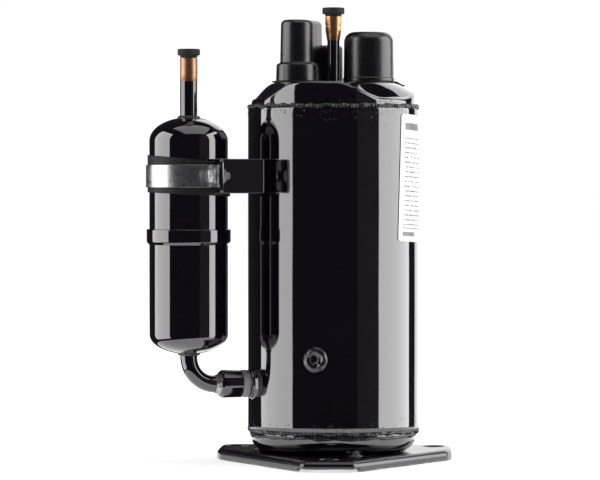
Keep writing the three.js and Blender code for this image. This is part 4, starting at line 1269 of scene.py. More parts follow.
    def build_foot_welds(self) -> None:
        """Small cone-like welds where the bottom cap sits on the plate."""
        cap = Extent.of("bottom_cap")
        total: Surface | None = None
        for number, angle in enumerate((268.0, 28.0, 148.0)):
            theta = np.linspace(0, 2 * np.pi, 24, endpoint=False)[None]
            profile = np.array([(0, 10.5), (1.0, 10.2), (2.4, 7.4), (3.9, 4.4), (6.2, 2.9), (6.4, 2.2),
                                (0, 2.2)])
            wobble = 0.35 * waves(theta, 80 + number, 2, 8, 6, across=profile[:, 1:] * 0.3)
            reach = cap.high[0] - 4.5
            centre = (reach * math.cos(math.radians(angle)), reach * math.sin(math.radians(angle)))
            lump = revolve(profile, 24, centre, radial=wobble, closed=False)
            total = lump if total is None else total + lump
        make_piece("plate_welds", total, WELD, crease=80)


# ---------------------------------------------------------------- accumulator and suction line
@dataclass
class Accumulator:
    """Two drawn shells lapped at the middle, with a tube in the top and the elbow out of the bottom."""

    upper: Extent = field(default_factory=lambda: Extent.of("accumulator_upper_shell"))
    lower: Extent = field(default_factory=lambda: Extent.of("accumulator_lower_shell"))
    tube: Extent = field(default_factory=lambda: Extent.of("suction_tube"))
    wall: float = 1.6

    @property
    def centre(self) -> tuple[float, float]:
        """Plan centre of the accumulator."""
        return float(self.upper.centre[0]), float(self.upper.centre[1])

    def build(self) -> None:
        """Makes both shells and the weld round the inlet tube."""
        radius = float(self.upper.size[1] / 2)
        lap_radius = float(self.lower.size[1] / 2)
        tube = float(self.tube.size[1] / 2)
        lap_top = float(self.lower.high[2])
        top, bottom = float(self.upper.high[2]), float(self.lower.low[2])
        straight, lower_straight = top - 17.2, bottom + 14.4
        outer = np.vstack([dome(radius, tube + 0.3, straight, top - straight)[::-1],
                           np.stack([np.full(20, radius), np.linspace(straight, lap_top - 8, 22)[1:-1]], -1),
                           [(radius, lap_top - 8)]])
        inner = np.vstack([[(radius - self.wall, lap_top - 8)],
                           dome(radius - self.wall, tube + 0.3, straight, top - straight - self.wall)])
        make_piece("accumulator_upper_drawn_shell", revolve(np.vstack([outer, inner]), 192, self.centre),
                   ENAMEL, stands_for=["accumulator_upper_shell"])
        lap = rounded([(radius + 0.2, lap_top), (lap_radius, lap_top), (lap_radius, lap_top - 9.4),
                       (radius, lap_top - 11.4)], [0.1, 0.8, 1.6, 1.6], closed=False, steps=5)
        wall = np.stack([np.full(24, radius), np.linspace(lap_top - 13, lower_straight, 24)], axis=-1)
        outer = np.vstack([lap, wall,
                           dome(radius, tube + 0.3, lower_straight, bottom - lower_straight)[1:]])
        inner = np.vstack([dome(radius - self.wall, tube + 0.3, lower_straight,
                                bottom + self.wall - lower_straight)[::-1],
                           [(radius - self.wall, lap_top - 12), (radius + 0.2, lap_top - 10)]])
        make_piece("accumulator_lower_drawn_shell", revolve(np.vstack([outer, inner]), 192, self.centre),
                   ENAMEL, stands_for=["accumulator_lower_shell"])
        angle = np.linspace(0, 2 * np.pi, 96, endpoint=False)[None]
        for name, level, way, seed in (("inlet_weld", top, 1.0, 90), ("outlet_weld", bottom, -1.0, 91)):
            profile = rounded([(tube + 0.1, level - way * 1.2), (tube + 2.6, level - way * 1.0),
                               (tube + 0.1, level + way * 2.0)], [0.2, 1.0, 0.5], steps=4)
            wobble = 0.18 * waves(angle, seed, 3, 22, 10, across=profile[:, 1:] * 0.5)
            make_piece(name, revolve(profile, 96, self.centre, radial=wobble), WELD, crease=80)


@dataclass
class PipeWork:
    """Copper stubs with their rubber plugs, and the elbow with its sleeve and brazing."""

    suction: Extent = field(default_factory=lambda: Extent.of("suction_tube"))
    elbow: Extent = field(default_factory=lambda: Extent.of("suction_elbow"))
    sleeve: Extent = field(default_factory=lambda: Extent.of("suction_sleeve"))
    ring: Extent = field(default_factory=lambda: Extent.of("suction_braze_ring"))
    collar: Extent = field(default_factory=lambda: Extent.of("shell_collar"))
    discharge: Extent = field(default_factory=lambda: Extent.of("discharge_tube"))
    copper: Colour = (0.66, 0.36, 0.17)
    red_copper: Colour = (0.52, 0.28, 0.165)
    bend_radius: float = 20.0
    suction_paint_line: float = 274.8
    discharge_paint_line: float = 305.8

    def build(self) -> None:
        """Makes every pipe and plug."""
        self.build_suction_tube()
        self.build_discharge_tube()
        self.build_plug("discharge_rubber_plug", "discharge_plug", Body.DISCHARGE_PLUG, 4.7, self.discharge)
        self.build_plug("suction_rubber_plug", "suction_plug", Body.SUCTION_PLUG, 5.05, self.suction)
        self.build_elbow()
        self.build_sleeve()

    def build_suction_tube(self) -> None:
        """Straight half-inch tube with a rounded cut end."""
        r = float(self.suction.size[1] / 2)
        low, high = float(self.suction.low[2]), float(self.suction.high[2])
        profile = rounded([(r - 1, low), (r, low), (r, high), (r - 1, high)], [0, 0, 0.4, 0.3], steps=4)
        finish = PaintedTube("suction_copper", self.red_copper, 0.3, paint_line=self.suction_paint_line)
        place = (float(self.suction.centre[0]), float(self.suction.centre[1]))
        make_piece("suction_stub", revolve(profile, 72, place), finish,
                   stands_for=["suction_tube"])

    def build_discharge_tube(self) -> None:
        """Narrow tube that widens through a long cone into a socket, with a rolled line in the socket."""
        low, high = float(self.discharge.low[2]), float(self.discharge.high[2])
        r, mouth = 4.5, float(self.discharge.size[0] / 2)
        outer = rounded([(r, low), (r, high - 18.5), (mouth - 0.1, high - 10.2), (mouth - 0.1, high - 7.6),
                         (mouth - 0.3, high - 7.0), (mouth, high - 6.2), (mouth, high)],
                        [0, 4.0, 2.5, 0.4, 0.5, 0.4, 0.35], closed=False, steps=5)
        inner = np.array([(mouth - 0.95, high), (mouth - 0.95, high - 9.6), (r - 0.8, high - 17.5),
                          (r - 0.8, low)])
        finish = PaintedTube("discharge_copper", self.copper, 0.2, paint_line=self.discharge_paint_line)
        make_piece("discharge_stub", revolve(np.vstack([outer, inner]), 72), finish,
                   stands_for=["discharge_tube"])
        pad = float(Extent.of("top_cap").high[2])
        angle = np.linspace(0, 2 * np.pi, 96, endpoint=False)[None]
        root = rounded([(r, pad - 1.0), (r + 2.6, pad - 0.8), (r + 2.2, pad + 0.7), (r, pad + 1.9)],
                       [0.1, 0.5, 0.8, 0.3], steps=4)
        wobble = 0.16 * waves(angle, 33, 3, 20, 9, across=root[:, 1:])
        make_piece("discharge_root_weld", revolve(root, 96, radial=wobble), WELD, crease=80)

    def build_plug(self, name: str, node: str, body: Body, bore: float, tube: Extent) -> None:
        """Rubber shipping plug: tapered stem, neck, and a head with soft edges and a dished top.

        Args:
            name: The piece's name.
            node: The node it stands for.
            body: The body it rides on.
            bore: Radius of the bore it fills.
            tube: The tube's extent.
        """
        box = Extent.of(node)
        low, high, r = float(box.low[2]), float(box.high[2]), float(box.size[0] / 2)
        rim = float(tube.high[2])
        profile = rounded([(0, low), (bore - 1.1, low), (bore - 0.1, low + 2.5), (bore - 0.1, rim + 0.3),
                           (bore + 1.3, rim + 0.3), (bore + 1.5, high - 4.7), (r, high - 4.7), (r, high),
                           (r - 2.2, high), (r - 3.2, high - 0.5), (0, high - 0.5)],
                          [0, 0.6, 0.3, 0.1, 0.3, 0.4, 0.7, 1.0, 0.5, 0.6, 0], closed=False, steps=5)
        seam = 0.12 * np.exp(-((profile[:, 1:] - (high - 2.4)) / 0.22) ** 2) * (profile[:, :1] > r - 0.6)
        place = (float(box.centre[0]), float(box.centre[1]))
        make_piece(name, revolve(profile, 72, place, radial=seam, closed=False), RUBBER, body,
                   stands_for=[node])

    def build_elbow(self) -> None:
        """Bent tube: circles carried down, round a quarter turn and along to the sleeve.

        The circle is flattened a little in the middle of the bend, as a bent tube is.
        """
        r = float(self.elbow.size[1] / 2)
        start_x, end_x = float(self.elbow.low[0]) + r, float(self.elbow.high[0])
        level, top = float(self.elbow.low[2]) + r, float(self.elbow.high[2])
        t = np.linspace(0, np.pi / 2, 40)
        centre_x, centre_z = start_x + self.bend_radius, level + self.bend_radius
        x = np.concatenate([[start_x, start_x], centre_x - self.bend_radius * np.cos(t), [end_x - 1, end_x]])
        z = np.concatenate([[top, centre_z + 0.5], centre_z - self.bend_radius * np.sin(t), [level, level]])
        lean = np.concatenate([[0, 0], t, [np.pi / 2, np.pi / 2]])[:, None]
        flat = np.sin(2 * lean) * 0.045
        theta = np.linspace(0, 2 * np.pi, 64, endpoint=False)[None]
        out = r * (1 - flat) * np.cos(theta)
        side = r * (1 + flat) * np.sin(theta)
        across, up = x[:, None] - out * np.cos(lean), z[:, None] - out * np.sin(lean)
        points = np.stack([across, side + 0 * lean, up], axis=-1)
        make_piece("bent_suction_elbow", grid(points, caps=True), ENAMEL,
                   stands_for=["suction_elbow"])

    def build_sleeve(self) -> None:
        """Sleeve, the bright fillet in front of it, the sagging braze ring and the shell's collar."""
        level = float(self.sleeve.centre[2])
        tube = float(self.elbow.size[1] / 2)
        origin, axis = (0.0, 0.0, level), (1.0, 0.0, 0.0)
        angle = np.linspace(0, 2 * np.pi, 96, endpoint=False)[None]
        a, b, r = float(self.sleeve.low[0]), float(self.sleeve.high[0]), float(self.sleeve.size[1] / 2)
        body = rounded([(tube + 0.1, a), (r - 1.6, a), (r, a + 2.0), (r, b), (tube + 0.1, b)],
                       [0.1, 0.6, 1.0, 0.5, 0.1], steps=5)
        make_piece("machined_sleeve", laid(revolve(body, 96), origin, axis), ENAMEL,
                   stands_for=["suction_sleeve"])
        fillet = rounded([(tube - 0.05, a + 0.6), (r - 2.0, a + 0.5), (r - 2.6, a - 0.7),
                          (tube + 0.5, a - 2.2), (tube - 0.05, a - 4.0)], [0.1, 0.4, 1.4, 1.6, 0.3], steps=5)
        wobble = 0.16 * waves(angle, 51, 3, 18, 10, across=fillet[:, 1:] * 0.6)
        make_piece("sleeve_braze_fillet", laid(revolve(fillet, 96, radial=wobble), origin, axis),
                   BRIGHT_BRAZE, crease=80)
        a, b, r = float(self.ring.low[0]), float(self.ring.high[0]), float(self.ring.size[1] / 2)
        ring = rounded([(tube + 0.1, a - 0.4), (r + 0.3, a - 0.4), (r + 0.2, b + 0.2), (tube + 0.1, b + 0.2)],
                       [0.1, 1.4, 1.6, 0.1], steps=6)
        sag = 0.45 * (1 - np.cos(angle)) / 2 + 0.3 * waves(angle, 52, 3, 16, 10, across=ring[:, 1:] * 0.9)
        sag = sag * (ring[:, :1] > tube + 0.5)
        make_piece("sagging_braze_ring", laid(revolve(ring, 96, radial=sag), origin, axis), BRAZE,
                   stands_for=["suction_braze_ring"], crease=80)
        a, r = float(self.collar.low[0]), float(self.collar.size[1] / 2)
        inner = float(Extent.of("casing_shell").high[0])
        collar = rounded([(tube + 0.1, a), (r, a), (r, -inner - 0.6), (r + 2.6, -inner + 1.1),
                          (r + 2.6, -inner + 2.4), (tube + 0.1, -inner + 2.4)],
                         [0.1, 0.9, 1.6, 0.5, 0.1, 0.1], steps=5)
        make_piece("pressed_collar", laid(revolve(collar, 96), origin, axis), ENAMEL,
                   stands_for=["shell_collar"])


# ---------------------------------------------------------------- clamp
@dataclass
class Clamp:
    """Rubber strip, sprung band, bracket on the shell, and the screw with its washer."""

    rubber: Extent = field(default_factory=lambda: Extent.of("clamp_rubber"))
    band: Extent = field(default_factory=lambda: Extent.of("clamp_band"))
    bracket: Extent = field(default_factory=lambda: Extent.of("clamp_bracket"))
    washer: Extent = field(default_factory=lambda: Extent.of("clamp_washer"))
    bolt: Extent = field(default_factory=lambda: Extent.of("clamp_bolt"))
    band_sheet: float = 0.9
    bracket_sheet: float = 2.3
    arm: float = 33.2
    foot_half: float = 24.0
    screw_radius: float = 3.0

    def build(self) -> None:
        """Makes every piece of the clamp."""
        self.build_rubber()
        self.build_band()
        self.build_bracket()
        self.build_fasteners()

    def build_rubber(self) -> None:
        """Strip between band and accumulator, proud of the band above and below, and put on askew."""
        r = float(self.rubber.size[1] / 2)
        low, high = float(self.rubber.low[2]), float(self.rubber.high[2])
        profile = rounded([(r - 1.0, low), (r, low), (r, high), (r - 1.0, high)], [0.1, 0.45, 0.45, 0.1],
                          steps=4)
        place = (float(self.rubber.centre[0]), float(self.rubber.centre[1]))
        angle = np.linspace(0, 2 * np.pi, 160, endpoint=False)[None]
        askew = -0.5 - 2.9 * np.cos(angle + math.radians(18.0))
        upper = np.sign(profile[:, 1:] - self.rubber.centre[2])
        uneven = 0.12 * waves(angle, 12, 2, 12, 7) * upper + askew * (0.75 + 0.25 * upper)
        make_piece("clamp_rubber_strip", revolve(profile, 160, place, rise=uneven), STRIP_RUBBER,
                   stands_for=["clamp_rubber"])

    def build_band(self) -> None:
        """Band: round the far side of the accumulator, then out to an ear at each end."""
        x = float(self.rubber.centre[0])
        radius = float(self.rubber.size[1] / 2) + 0.3 + self.band_sheet / 2
        ear_x = x + 8.0
        near, far = float(self.band.low[1]), float(self.band.high[1])
        leave = math.degrees(math.asin(8.0 / radius))
        turn = np.radians(np.linspace(94 - leave, 266 + leave, 90))
        around = np.stack([x + radius * np.cos(turn), radius * np.sin(turn)], axis=-1)
        path = np.vstack([[(ear_x, far), (ear_x, radius + 4)], around, [(ear_x, -radius - 4), (ear_x, near)]])
        middle = float(self.band.centre[2])
        half = float(self.band.size[2] / 2)
        surface = self.on_edge(rounded(path, 2.2, closed=False, steps=4), self.band_sheet, middle - half,
                               middle + half, 2.2)
        make_piece("sprung_band", surface, GALVANISED, stands_for=["clamp_band"])

    @staticmethod
    def on_edge(path: Array, sheet: float, low: float, high: float, corner: float) -> Surface:
        """A strip stood on edge along a plan path.

        Near each end its height is drawn in by a circle's rise, which rounds the corners.

        Args:
            path: Plan points.
            sheet: The strip's thickness.
            low: Its lower edge.
            high: Its upper edge.
            corner: The radius of its end corners.

        Returns:
            The closed strip.
        """
        step = 0.8
        path = lengthwise(path, closed=False, step=step)
        run = np.minimum(np.arange(len(path)), np.arange(len(path))[::-1]) * step
        pinch = corner * (1 - np.sqrt(np.clip(1 - (1 - np.clip(run / corner, 0, 1)) ** 2, 0, 1)))
        return carried(path, np.stack([slab(sheet, low + p, high - p, sheet * 0.3) for p in pinch]))

    def build_bracket(self) -> None:
        """Bracket: a hat in plan whose foot is welded on the shell, with an ear on each arm."""
        shell = float(Extent.of("casing_shell").high[0])
        ear_x = float(self.bracket.low[0]) + self.bracket_sheet / 2
        foot_r = shell + 0.3 + self.bracket_sheet / 2
        turn = np.radians(np.linspace(180 - self.foot_half, 180 + self.foot_half, 24))
        foot = np.stack([foot_r * np.cos(turn), foot_r * np.sin(turn)], axis=-1)
        reach = float(self.bracket.high[1])
        corner_y = float(foot[0, 1]) + 3.0
        path = np.vstack([[(ear_x, reach), (ear_x, self.arm), (foot[0, 0] - 4.0, corner_y)], foot,
                          [(foot[-1, 0] - 4.0, -corner_y), (ear_x, -self.arm), (ear_x, -reach)]])
        radii = [0, 3.2, 3.0, *[0.0] * 24, 3.0, 3.2, 0]
        low, high = float(self.bracket.low[2]), float(self.bracket.high[2])
        path = rounded(path, radii, closed=False, steps=5)
        surface = self.on_edge(path, self.bracket_sheet, low, high, 3.0)
        nut_x = ear_x + self.bracket_sheet / 2
        nut = self.hexagon(5.6, 0.0, 4.6, 0.5)
        place = (nut_x, float(self.bolt.centre[1]), float(self.bolt.centre[2]))
        surface = surface + laid(nut, place, (1, 0, 0))
        make_piece("formed_bracket", surface, ENAMEL, stands_for=["clamp_bracket"], crease=50)
        beads: Surface | None = None
        for number, way in enumerate((1.0, -1.0)):
            height = np.linspace(low + 1.5, high - 1.5, 60)[:, None]
            theta = np.linspace(0, 2 * np.pi, 14, endpoint=False)[None]
            thick = (1.5 + 0.18 * waves(height * 0.9, 70 + number, 2, 7, 8, across=theta)
                     + 0.14 * np.abs(np.sin(height * 1.9)))
            share = (height - height.mean()) / (height[-1] - height.mean() + 0.4)
            thick = thick * np.sqrt(np.clip(1 - share ** 8, 0.05, 1))
            stand, at = shell + 0.2, math.radians(180 + way * (self.foot_half - 1.0))
            centre = np.array([stand * math.cos(at), stand * math.sin(at)])
            bead = grid(circled(thick, theta, height, (centre[0], centre[1] + way * -0.2)), caps=True)
            beads = bead if beads is None else beads + bead
        make_piece("bracket_welds", beads, WELD, crease=80)

    @staticmethod
    def hexagon(half: float, low: float, high: float, chamfer: float) -> Surface:
        """A hexagon whose corners are turned off at the top: the lesser of hexagon and cone radius.

        Args:
            half: Half the width across the corners.
            low: Height of the foot.
            high: Height of the top.
            chamfer: Draw-in of the top edge, in fifths of a millimetre.

        Returns:
            The surface.
        """
        theta = np.linspace(0, 2 * np.pi, 96, endpoint=False)[None]
        flat = (theta + np.pi / 6) % (np.pi / 3) - np.pi / 6
        across = half * math.cos(math.pi / 6) / np.cos(flat)
        height = np.array([low, low, high - 1.6, high - 1.2, high - 0.8, high - 0.4, high, high])[:, None]
        cone = np.array([0.0, 50.0, 50.0, half - 0.02, half - 0.25, half - 0.55, half - 0.95, 0.0])[:, None]
        radius = np.minimum(across, cone) - (height > high - 0.2) * chamfer * 0.2
        radius = np.where(cone == 0, 0.0, radius)
        return grid(circled(radius, theta, height))

    def build_fasteners(self) -> None:
        """Washer, and a screw with a flanged hexagon head and a rolled thread."""
        origin = (0.0, float(self.bolt.centre[1]), float(self.bolt.centre[2]))
        a, b, r = float(self.washer.low[0]), float(self.washer.high[0]), float(self.washer.size[1] / 2)
        washer = rounded([(self.screw_radius + 0.3, a), (r, a), (r, b), (self.screw_radius + 0.3, b)],
                         [0.2, 0.4, 0.2, 0.1], steps=4)
        make_piece("plain_washer", laid(revolve(washer, 72), origin, (1, 0, 0)), ZINC,
                   stands_for=["clamp_washer"])
        end = float(self.bolt.high[0])
        head = self.hexagon(5.2, 0.0, 3.8, 0.5)
        face = float(self.washer.low[0]) - 0.3
        head = laid(head, (face, origin[1], origin[2]), (-1, 0, 0))
        run = np.linspace(face - 1.0, end - 0.8, 150)[:, None]
        theta = np.linspace(0, 2 * np.pi, 36, endpoint=False)[None]
        thread = np.abs(((run / 1.0 + theta / (2 * np.pi)) % 1.0) - 0.5) * 2
        radius = self.screw_radius - 0.45 * thread * ramp(run, face + 4, face + 6)
        radius = np.vstack([0 * theta, radius, radius[-1:] - 0.7, 0 * theta])
        run = np.vstack([run[:1], run, [[end]], [[end]]])
        shank = laid(grid(circled(radius, theta, run)), origin, (1, 0, 0))
        make_piece("flanged_screw", head + shank, ZINC, stands_for=["clamp_bolt"], crease=25)


# ---------------------------------------------------------------- covers and label
@dataclass
class ElectricalCovers:
    """The two moulded covers on the top cap and their rubber gaskets."""

    terminal: Extent = field(default_factory=lambda: Extent.of("terminal_cover"))
    protector: Extent = field(default_factory=lambda: Extent.of("protector_cover"))
    gasket: Extent = field(default_factory=lambda: Extent.of("terminal_gasket"))
    front: tuple[float, float] = (-26.0, 6.5)
    rear: tuple[float, float] = (-13.5, 25.0)
    outlet: tuple[float, float] = (6.0, 22.5)
    lobe: float = 12.4
    outlet_lobe: float = 8.4
    outlet_top: float = 303.0
    skirt: float = 3.2
    skirt_height: float = 12.0
    wall: float = 1.6

    def build(self) -> None:
        """Makes both covers and both gaskets."""
        self.build_terminal_cover()
        self.build_protector_cover()
        self.build_gaskets()

    @staticmethod
    def hollow(outside: Array, wall: float) -> Array:
        """Rows of a hollow moulding from its outside rows, which run from the top's middle to the rim.

        Args:
            outside: The outside rows.
            wall: Thickness of the wall.

        Returns:
            All the rows, outside then inside.
        """
        inside = outside.copy()[::-1]
        inside[:, 0] = np.maximum(inside[:, 0] - wall, 0.0)
        inside[:, 1] = np.minimum(inside[:, 1], outside[0, 1] - wall)
        inside[-1, 0] = 0.0
        return np.vstack([outside, inside])

    def build_terminal_cover(self) -> None:
        """Tall two-lobed cover with a flared skirt, and the low lobe where the leads come out."""
        base, top, r = float(self.terminal.low[2]), float(self.terminal.high[2]), self.lobe
        skirt_top = base + self.skirt_height
        outside = rounded([(0, top), (r - 0.5, top - 0.15), (r + 0.1, skirt_top + 1.2),
                           (r + self.skirt - 0.4, skirt_top), (r + self.skirt, base)],
                          [0, 3.6, 1.2, 1.6, 0], closed=False, steps=8)
        body = stadium(self.front, self.rear, self.hollow(outside, self.wall), steps=32)
        low = rounded([(0, self.outlet_top), (self.outlet_lobe - 0.3, self.outlet_top - 0.1),
                       (self.outlet_lobe, base)], [0, 3.0, 0], closed=False, steps=8)
        outlet = stadium(self.rear, self.outlet, self.hollow(low, self.wall), steps=28)
        make_piece("moulded_terminal_cover", body + outlet, MOULDED, Body.TERMINAL_COVER,
                   stands_for=["terminal_cover"], crease=45)

    def build_protector_cover(self) -> None:
        """Round cover with a large soft corner and a thin bead at its rim."""
        base, top = float(self.protector.low[2]), float(self.protector.high[2])
        r = float(self.protector.size[0] / 2)
        place = tuple(float(v) for v in self.protector.centre[:2])
        outside = rounded([(0, top), (r - 0.6, top - 0.35), (r - 0.15, base + 2.6), (r + 0.3, base + 2.0),
                           (r + 0.3, base)], [0, 7.4, 0.4, 0.4, 0], closed=False, steps=12)
        surface = stadium(place, place, self.hollow(outside, 1.7), steps=56)
        make_piece("moulded_protector_cover", surface, MOULDED, Body.PROTECTOR_COVER,
                   stands_for=["protector_cover"], crease=45)

    def build_gaskets(self) -> None:
        """Thin gaskets that overhang the cap's hollows, the right one with a tab that droops."""
        low, high = float(self.gasket.low[2]), float(self.gasket.high[2])
        edge = self.lobe + self.skirt + 3.0
        soft = [0, 0.4, 0.4, 0]
        rows = rounded([(0, high), (edge, high), (edge, low), (0, low)], soft, closed=False, steps=4)
        thin = rows.copy()
        thin[:, 0] = np.clip(rows[:, 0] - edge + self.outlet_lobe, 0, None)
        sheet = stadium(self.front, self.rear, rows, steps=32)
        sheet = sheet + stadium(self.rear, self.outlet, thin, steps=24)
        make_piece("terminal_cover_gasket", sheet, STRIP_RUBBER, stands_for=["terminal_gasket"])
        place = self.protector.centre
        r = float(self.protector.size[0] / 2) + 0.7
        disc = rounded([(0, high), (r, high), (r, low), (0, low)], soft, closed=False, steps=4)
        sheet = revolve(disc, 96, (float(place[0]), float(place[1])), closed=False)
        out = np.linspace(0, 1, 24)
        section = rounded([(-9.0, -0.5), (9.0, -0.5), (9.0, 0.5), (-9.0, 0.5)], 0.4, steps=3)
        x = place[0] + 5 + out * (r + 1.5)
        droop = -2.6 * ramp(out, 0.62, 1.0)
        narrow = 1 - 0.25 * ramp(out, 0.6, 1.0)
        wide, thick = section[None, :, 0], section[None, :, 1]
        points = np.stack([x[:, None] + 0 * wide, place[1] + narrow[:, None] * wide,
                           (low + high) / 2 + droop[:, None] + thick], axis=-1)
        sheet = sheet + grid(points, caps=True)
        make_piece("protector_cover_gasket", sheet, STRIP_RUBBER,
                   stands_for=["protector_gasket"])


@dataclass
class NameLabel:
    """A sticker on the shell, put on a little crooked, with rounded corners and one lifting edge."""

    node: Extent = field(default_factory=lambda: Extent.of("name_label"))
    start: float = -59.0
    tilt: float = 2.4
    corner: float = 2.0

    def build(self) -> None:
        """Makes the sticker as a thin closed sheet on the shell.

        Rows run up the sheet and columns across it. A row is drawn in near the sheet's ends by a
        circle's rise, which rounds the corners; the flat sheet is turned by the tilt and rolled on.
        """
        shell = float(Extent.of("casing_shell").high[0])
        low, high = float(self.node.low[2]) + 0.8, float(self.node.high[2]) - 0.8
        tall, wide = high - low, STICKER.width
        up = np.linspace(0, tall, 96)[:, None]
        across = np.linspace(-wide / 2, wide / 2, 120)[None]
        near = np.minimum(up, tall - up)
        short = np.clip(self.corner - near, 0, None)
        draw = self.corner - np.sqrt(np.clip(self.corner**2 - short**2, 0, None))
        across = across * (1 - 2 * draw / wide)
        lean = math.radians(self.tilt)
        rolled = across * math.cos(lean) + (up - tall / 2) * math.sin(lean)
        height = low + tall / 2 + (up - tall / 2) * math.cos(lean) - across * math.sin(lean)
        middle = math.radians(self.start) + wide / 2 / shell + 0.012
        lift = 0.45 * np.exp(-((across - wide / 2) / 2.5) ** 2) * np.exp(-((up - tall * 0.83) / 9) ** 2)
        angle = middle + rolled / shell
        faces = []
        for stand in (0.34, 0.52):
            radius = shell + stand + lift + 0.02 * np.sin(up * 0.35 + across * 0.12)
            faces.append(circled(radius, angle, height))
        self.finish(faces, shell, middle, lean, low + tall / 2, wide, tall)

    def finish(self, sides: list[Array], shell: float, middle: float, lean: float, level: float, wide: float,
               tall: float) -> None:
        """Joins the two sides round their edge and writes each point's place on the sheet.

        Args:
            sides: The back's points and the front's points.
            shell: Radius of the shell.
            middle: Direction of the sheet's middle, in radians.
            lean: How far the sheet is turned on the shell, in radians.
            level: Height of the sheet's middle.
            wide: The sheet's width.
            tall: The sheet's height.
        """
        rows, columns = sides[0].shape[:2]
        both = grid(sides[0], wrap_columns=False) + grid(sides[1], wrap_columns=False)
        index = np.arange(rows * columns).reshape(rows, columns)
        rim = np.concatenate([index[0, :-1], index[:-1, -1], index[-1, :0:-1], index[:0:-1, 0]])
        after = np.roll(rim, -1)
        side = np.stack([rim, after, after + rows * columns, rim + rows * columns], axis=-1)

        def marks(points: Array) -> Array:
            """Distances across and up the flat sheet.

            Args:
                points: Points of the sheet.

            Returns:
                Points of distance across, distance up and 0.
            """
            rolled = (np.arctan2(points[:, 1], points[:, 0]) - middle) * shell
            rise = points[:, 2] - level
            across = rolled * math.cos(lean) - rise * math.sin(lean) + wide / 2
            up = rolled * math.sin(lean) + rise * math.cos(lean) + tall / 2
            return np.stack([across, up, 0 * up], axis=-1)

        surface = Surface(both.points, both.faces + [side])
        make_piece("sticker", surface, STICKER, stands_for=["name_label"], marks=marks)


# ---------------------------------------------------------------- pieces inside
@dataclass
class InnerWorks:
    """The pieces inside the shells and covers, which keep the part's own meshes."""

    finishes: dict[str, Finish] = field(default_factory=lambda: {
        "accumulator_standpipe": TURNED, "accumulator_screen": ZINC, "inner_suction_pipe": TURNED,
        "terminal_body": TURNED, "terminal_pin_1": ZINC, "terminal_pin_2": ZINC, "terminal_pin_3": ZINC,
        "overload_protector": MOULDED, "protector_spring": SPRING, "pump_cylinder": IRON,
        "main_bearing": IRON,
        "sub_bearing": IRON, "crankshaft": TURNED, "roller": TURNED, "vane": SPRING, "vane_spring": SPRING,
        "discharge_reed": SPRING, "reed_stop": ZINC, "discharge_muffler": ZINC, "pump_bolt_1": ZINC,
        "pump_bolt_2": ZINC, "pump_bolt_3": ZINC, "stator_core": CORE, "stator_windings": WIRE,
        "rotor_core": CORE, "rotor_end_ring_upper": ALUMINIUM, "rotor_end_ring_lower": ALUMINIUM,
        "balance_weight_upper": IRON, "balance_weight_lower": IRON, "lead_block": MOULDED,
        "motor_lead_sleeve": SLEEVING})

    def build(self) -> None:
        """Dresses each node that is still shown."""
        for name, finish in self.finishes.items():
            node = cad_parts[name]
            node.data.materials.clear()
            node.data.materials.append(finish.material())
            LOG.info("%s: %s", name, finish.name)
        shown = [name for name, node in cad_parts.items() if not node.hide_render]
        left = [name for name in shown if name not in self.finishes]
        if left:
            raise ValueError(f"nodes without a finish: {left}")


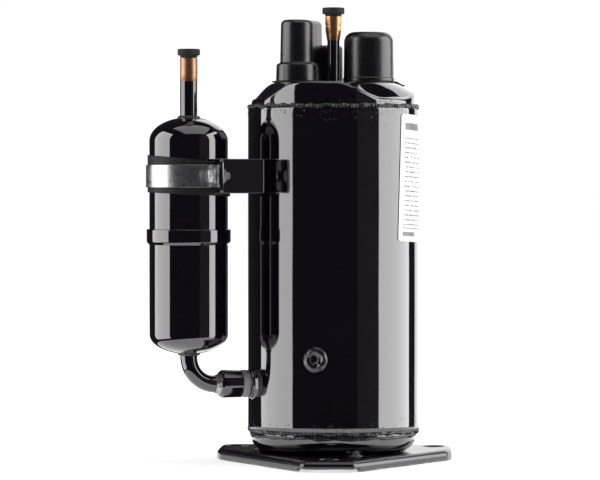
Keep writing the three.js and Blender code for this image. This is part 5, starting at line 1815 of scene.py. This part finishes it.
# ---------------------------------------------------------------- studio
@dataclass
class Studio:
    """Pale floor, white surround, soft panels to both sides, and the camera."""

    ground: float = field(default_factory=lambda: float(CAD_BOX[0][2]) / MM)
    view_turn: float = 252.0
    distance: float = 2550.0
    eye: float = 208.0
    lens: float = 207.0
    across: float = -33.35
    down: float = -60.0
    reach: float = 3450.0

    def build(self) -> None:
        """Makes the camera, the floor, the surround and the lights."""
        self.build_camera()
        self.build_floor()
        self.build_surround()
        self.panel("left_panel", 167.5, 57.0, 2.4, 2.6, -1.2, 2.6)
        self.panel("right_panel", 344.5, 59.0, 2.4, 3.2, -1.2, 2.6)
        self.panel("back_panel", 53.0, 38.0, 2.6, 1.3, -1.2, 2.6)
        self.panel("dim_fill", 299.5, 31.0, 2.8, 0.045, -1.2, 2.2)
        self.overhead()

    def build_camera(self) -> None:
        """Camera a little below the cap's height, looking slightly down and left of the shell."""
        turn = math.radians(self.view_turn)
        toward = np.array([-math.cos(turn), -math.sin(turn), 0.0])
        right = np.array([toward[1], -toward[0], 0.0])
        place = -toward * self.distance + np.array([0, 0, self.ground + self.eye])
        look = toward * self.reach + right * self.across + np.array([0, 0, self.down])
        data = bpy.data.cameras.new("camera")
        data.lens, data.sensor_width, data.clip_end = self.lens, 36.0, 100.0
        camera = bpy.data.objects.new("camera", data)
        camera.location = Vector(place * MM)
        camera.rotation_mode = "QUATERNION"
        camera.rotation_quaternion = Vector(look).to_track_quat("-Z", "Y")
        bpy.context.scene.collection.objects.link(camera)
        bpy.context.scene.camera = camera

    def build_floor(self) -> None:
        """A small disc that gloss can mirror, inside a very wide one that it can't."""
        pale = PaleFloor("pale_floor", (0.86, 0.86, 0.86), 0.9).material()
        for name, inner, outer in (("near_floor", 0.0, 230.0), ("far_floor", 230.0, 90000.0)):
            theta = np.linspace(0, 2 * np.pi, 96, endpoint=False)[None]
            radius = (inner + (outer - inner) * np.linspace(0, 1, 8) ** 3)[:, None]
            level = np.full_like(radius, self.ground - 0.02)
            surface = grid(circled(radius, theta, level))
            mesh = bpy.data.meshes.new(name)
            mesh.from_pydata((surface.points * MM).tolist(), [], surface.faces[0].tolist())
            mesh.materials.append(pale)
            floor = bpy.data.objects.new(name, mesh)
            bpy.context.scene.collection.objects.link(floor)
            floor.visible_glossy = name == "near_floor"

    def build_surround(self) -> None:
        """White where it is seen directly, dark where gloss reflects it, as black flags would do."""
        world = bpy.data.worlds.new("surround")
        bpy.context.scene.world = world
        world.use_nodes = True
        nodes, links = world.node_tree.nodes, world.node_tree.links
        nodes.clear()
        output, seen = nodes.new("ShaderNodeOutputWorld"), nodes.new("ShaderNodeBackground")
        dark, choice = nodes.new("ShaderNodeBackground"), nodes.new("ShaderNodeMixShader")
        path = nodes.new("ShaderNodeLightPath")
        seen.inputs[0].default_value, seen.inputs[1].default_value = (1, 1, 1, 1), 1.05
        dark.inputs[0].default_value, dark.inputs[1].default_value = (0.9, 0.92, 1, 1), 0.02
        links.new(path.outputs["Is Camera Ray"], choice.inputs[0])
        links.new(dark.outputs[0], choice.inputs[1])
        links.new(seen.outputs[0], choice.inputs[2])
        links.new(choice.outputs[0], output.inputs[0])
        bpy.context.scene.view_settings.view_transform = "Standard"

    def panel(self, name: str, turn: float, spread: float, away: float, glow: float, low: float,
              high: float) -> None:
        """An upright soft panel that faces the object.

        Args:
            name: The light's name.
            turn: Its direction from the object, in degrees.
            spread: The angle that it fills as seen from the object.
            away: Its distance, in metres.
            glow: Its brightness.
            low: Its lower edge, in metres.
            high: Its upper edge, in metres.
        """
        data = bpy.data.lights.new(name, "AREA")
        data.shape = "RECTANGLE"
        data.size = 2 * away * math.tan(math.radians(spread / 2))
        data.size_y = high - low
        data.energy = glow * math.pi * data.size * data.size_y
        light = bpy.data.objects.new(name, data)
        a = math.radians(turn)
        light.location = (away * math.cos(a), away * math.sin(a), (low + high) / 2)
        light.rotation_mode = "QUATERNION"
        light.rotation_quaternion = Vector((-math.cos(a), -math.sin(a), 0)).to_track_quat("-Z", "Y")
        light.visible_camera = False
        bpy.context.scene.collection.objects.link(light)

    def overhead(self) -> None:
        """A broad weak light from above, for the floor and the tops of the covers."""
        data = bpy.data.lights.new("overhead", "AREA")
        data.shape, data.size, data.size_y = "RECTANGLE", 3.0, 3.0
        data.energy = 24.0
        light = bpy.data.objects.new("overhead", data)
        light.location = (0.3, -0.6, 2.9)
        light.visible_camera = False
        bpy.context.scene.collection.objects.link(light)


def main() -> None:
    """Builds the studio and every sub-assembly."""
    for part in (Studio(), Casing(), MountingPlate(), Accumulator(), PipeWork(), Clamp(), ElectricalCovers(),
                 NameLabel(), InnerWorks()):
        LOG.info("building %s", type(part).__name__)
        part.build()


if __name__ == "__main__":
    logging.basicConfig(level=logging.INFO, format="%(name)s: %(message)s")
    main()
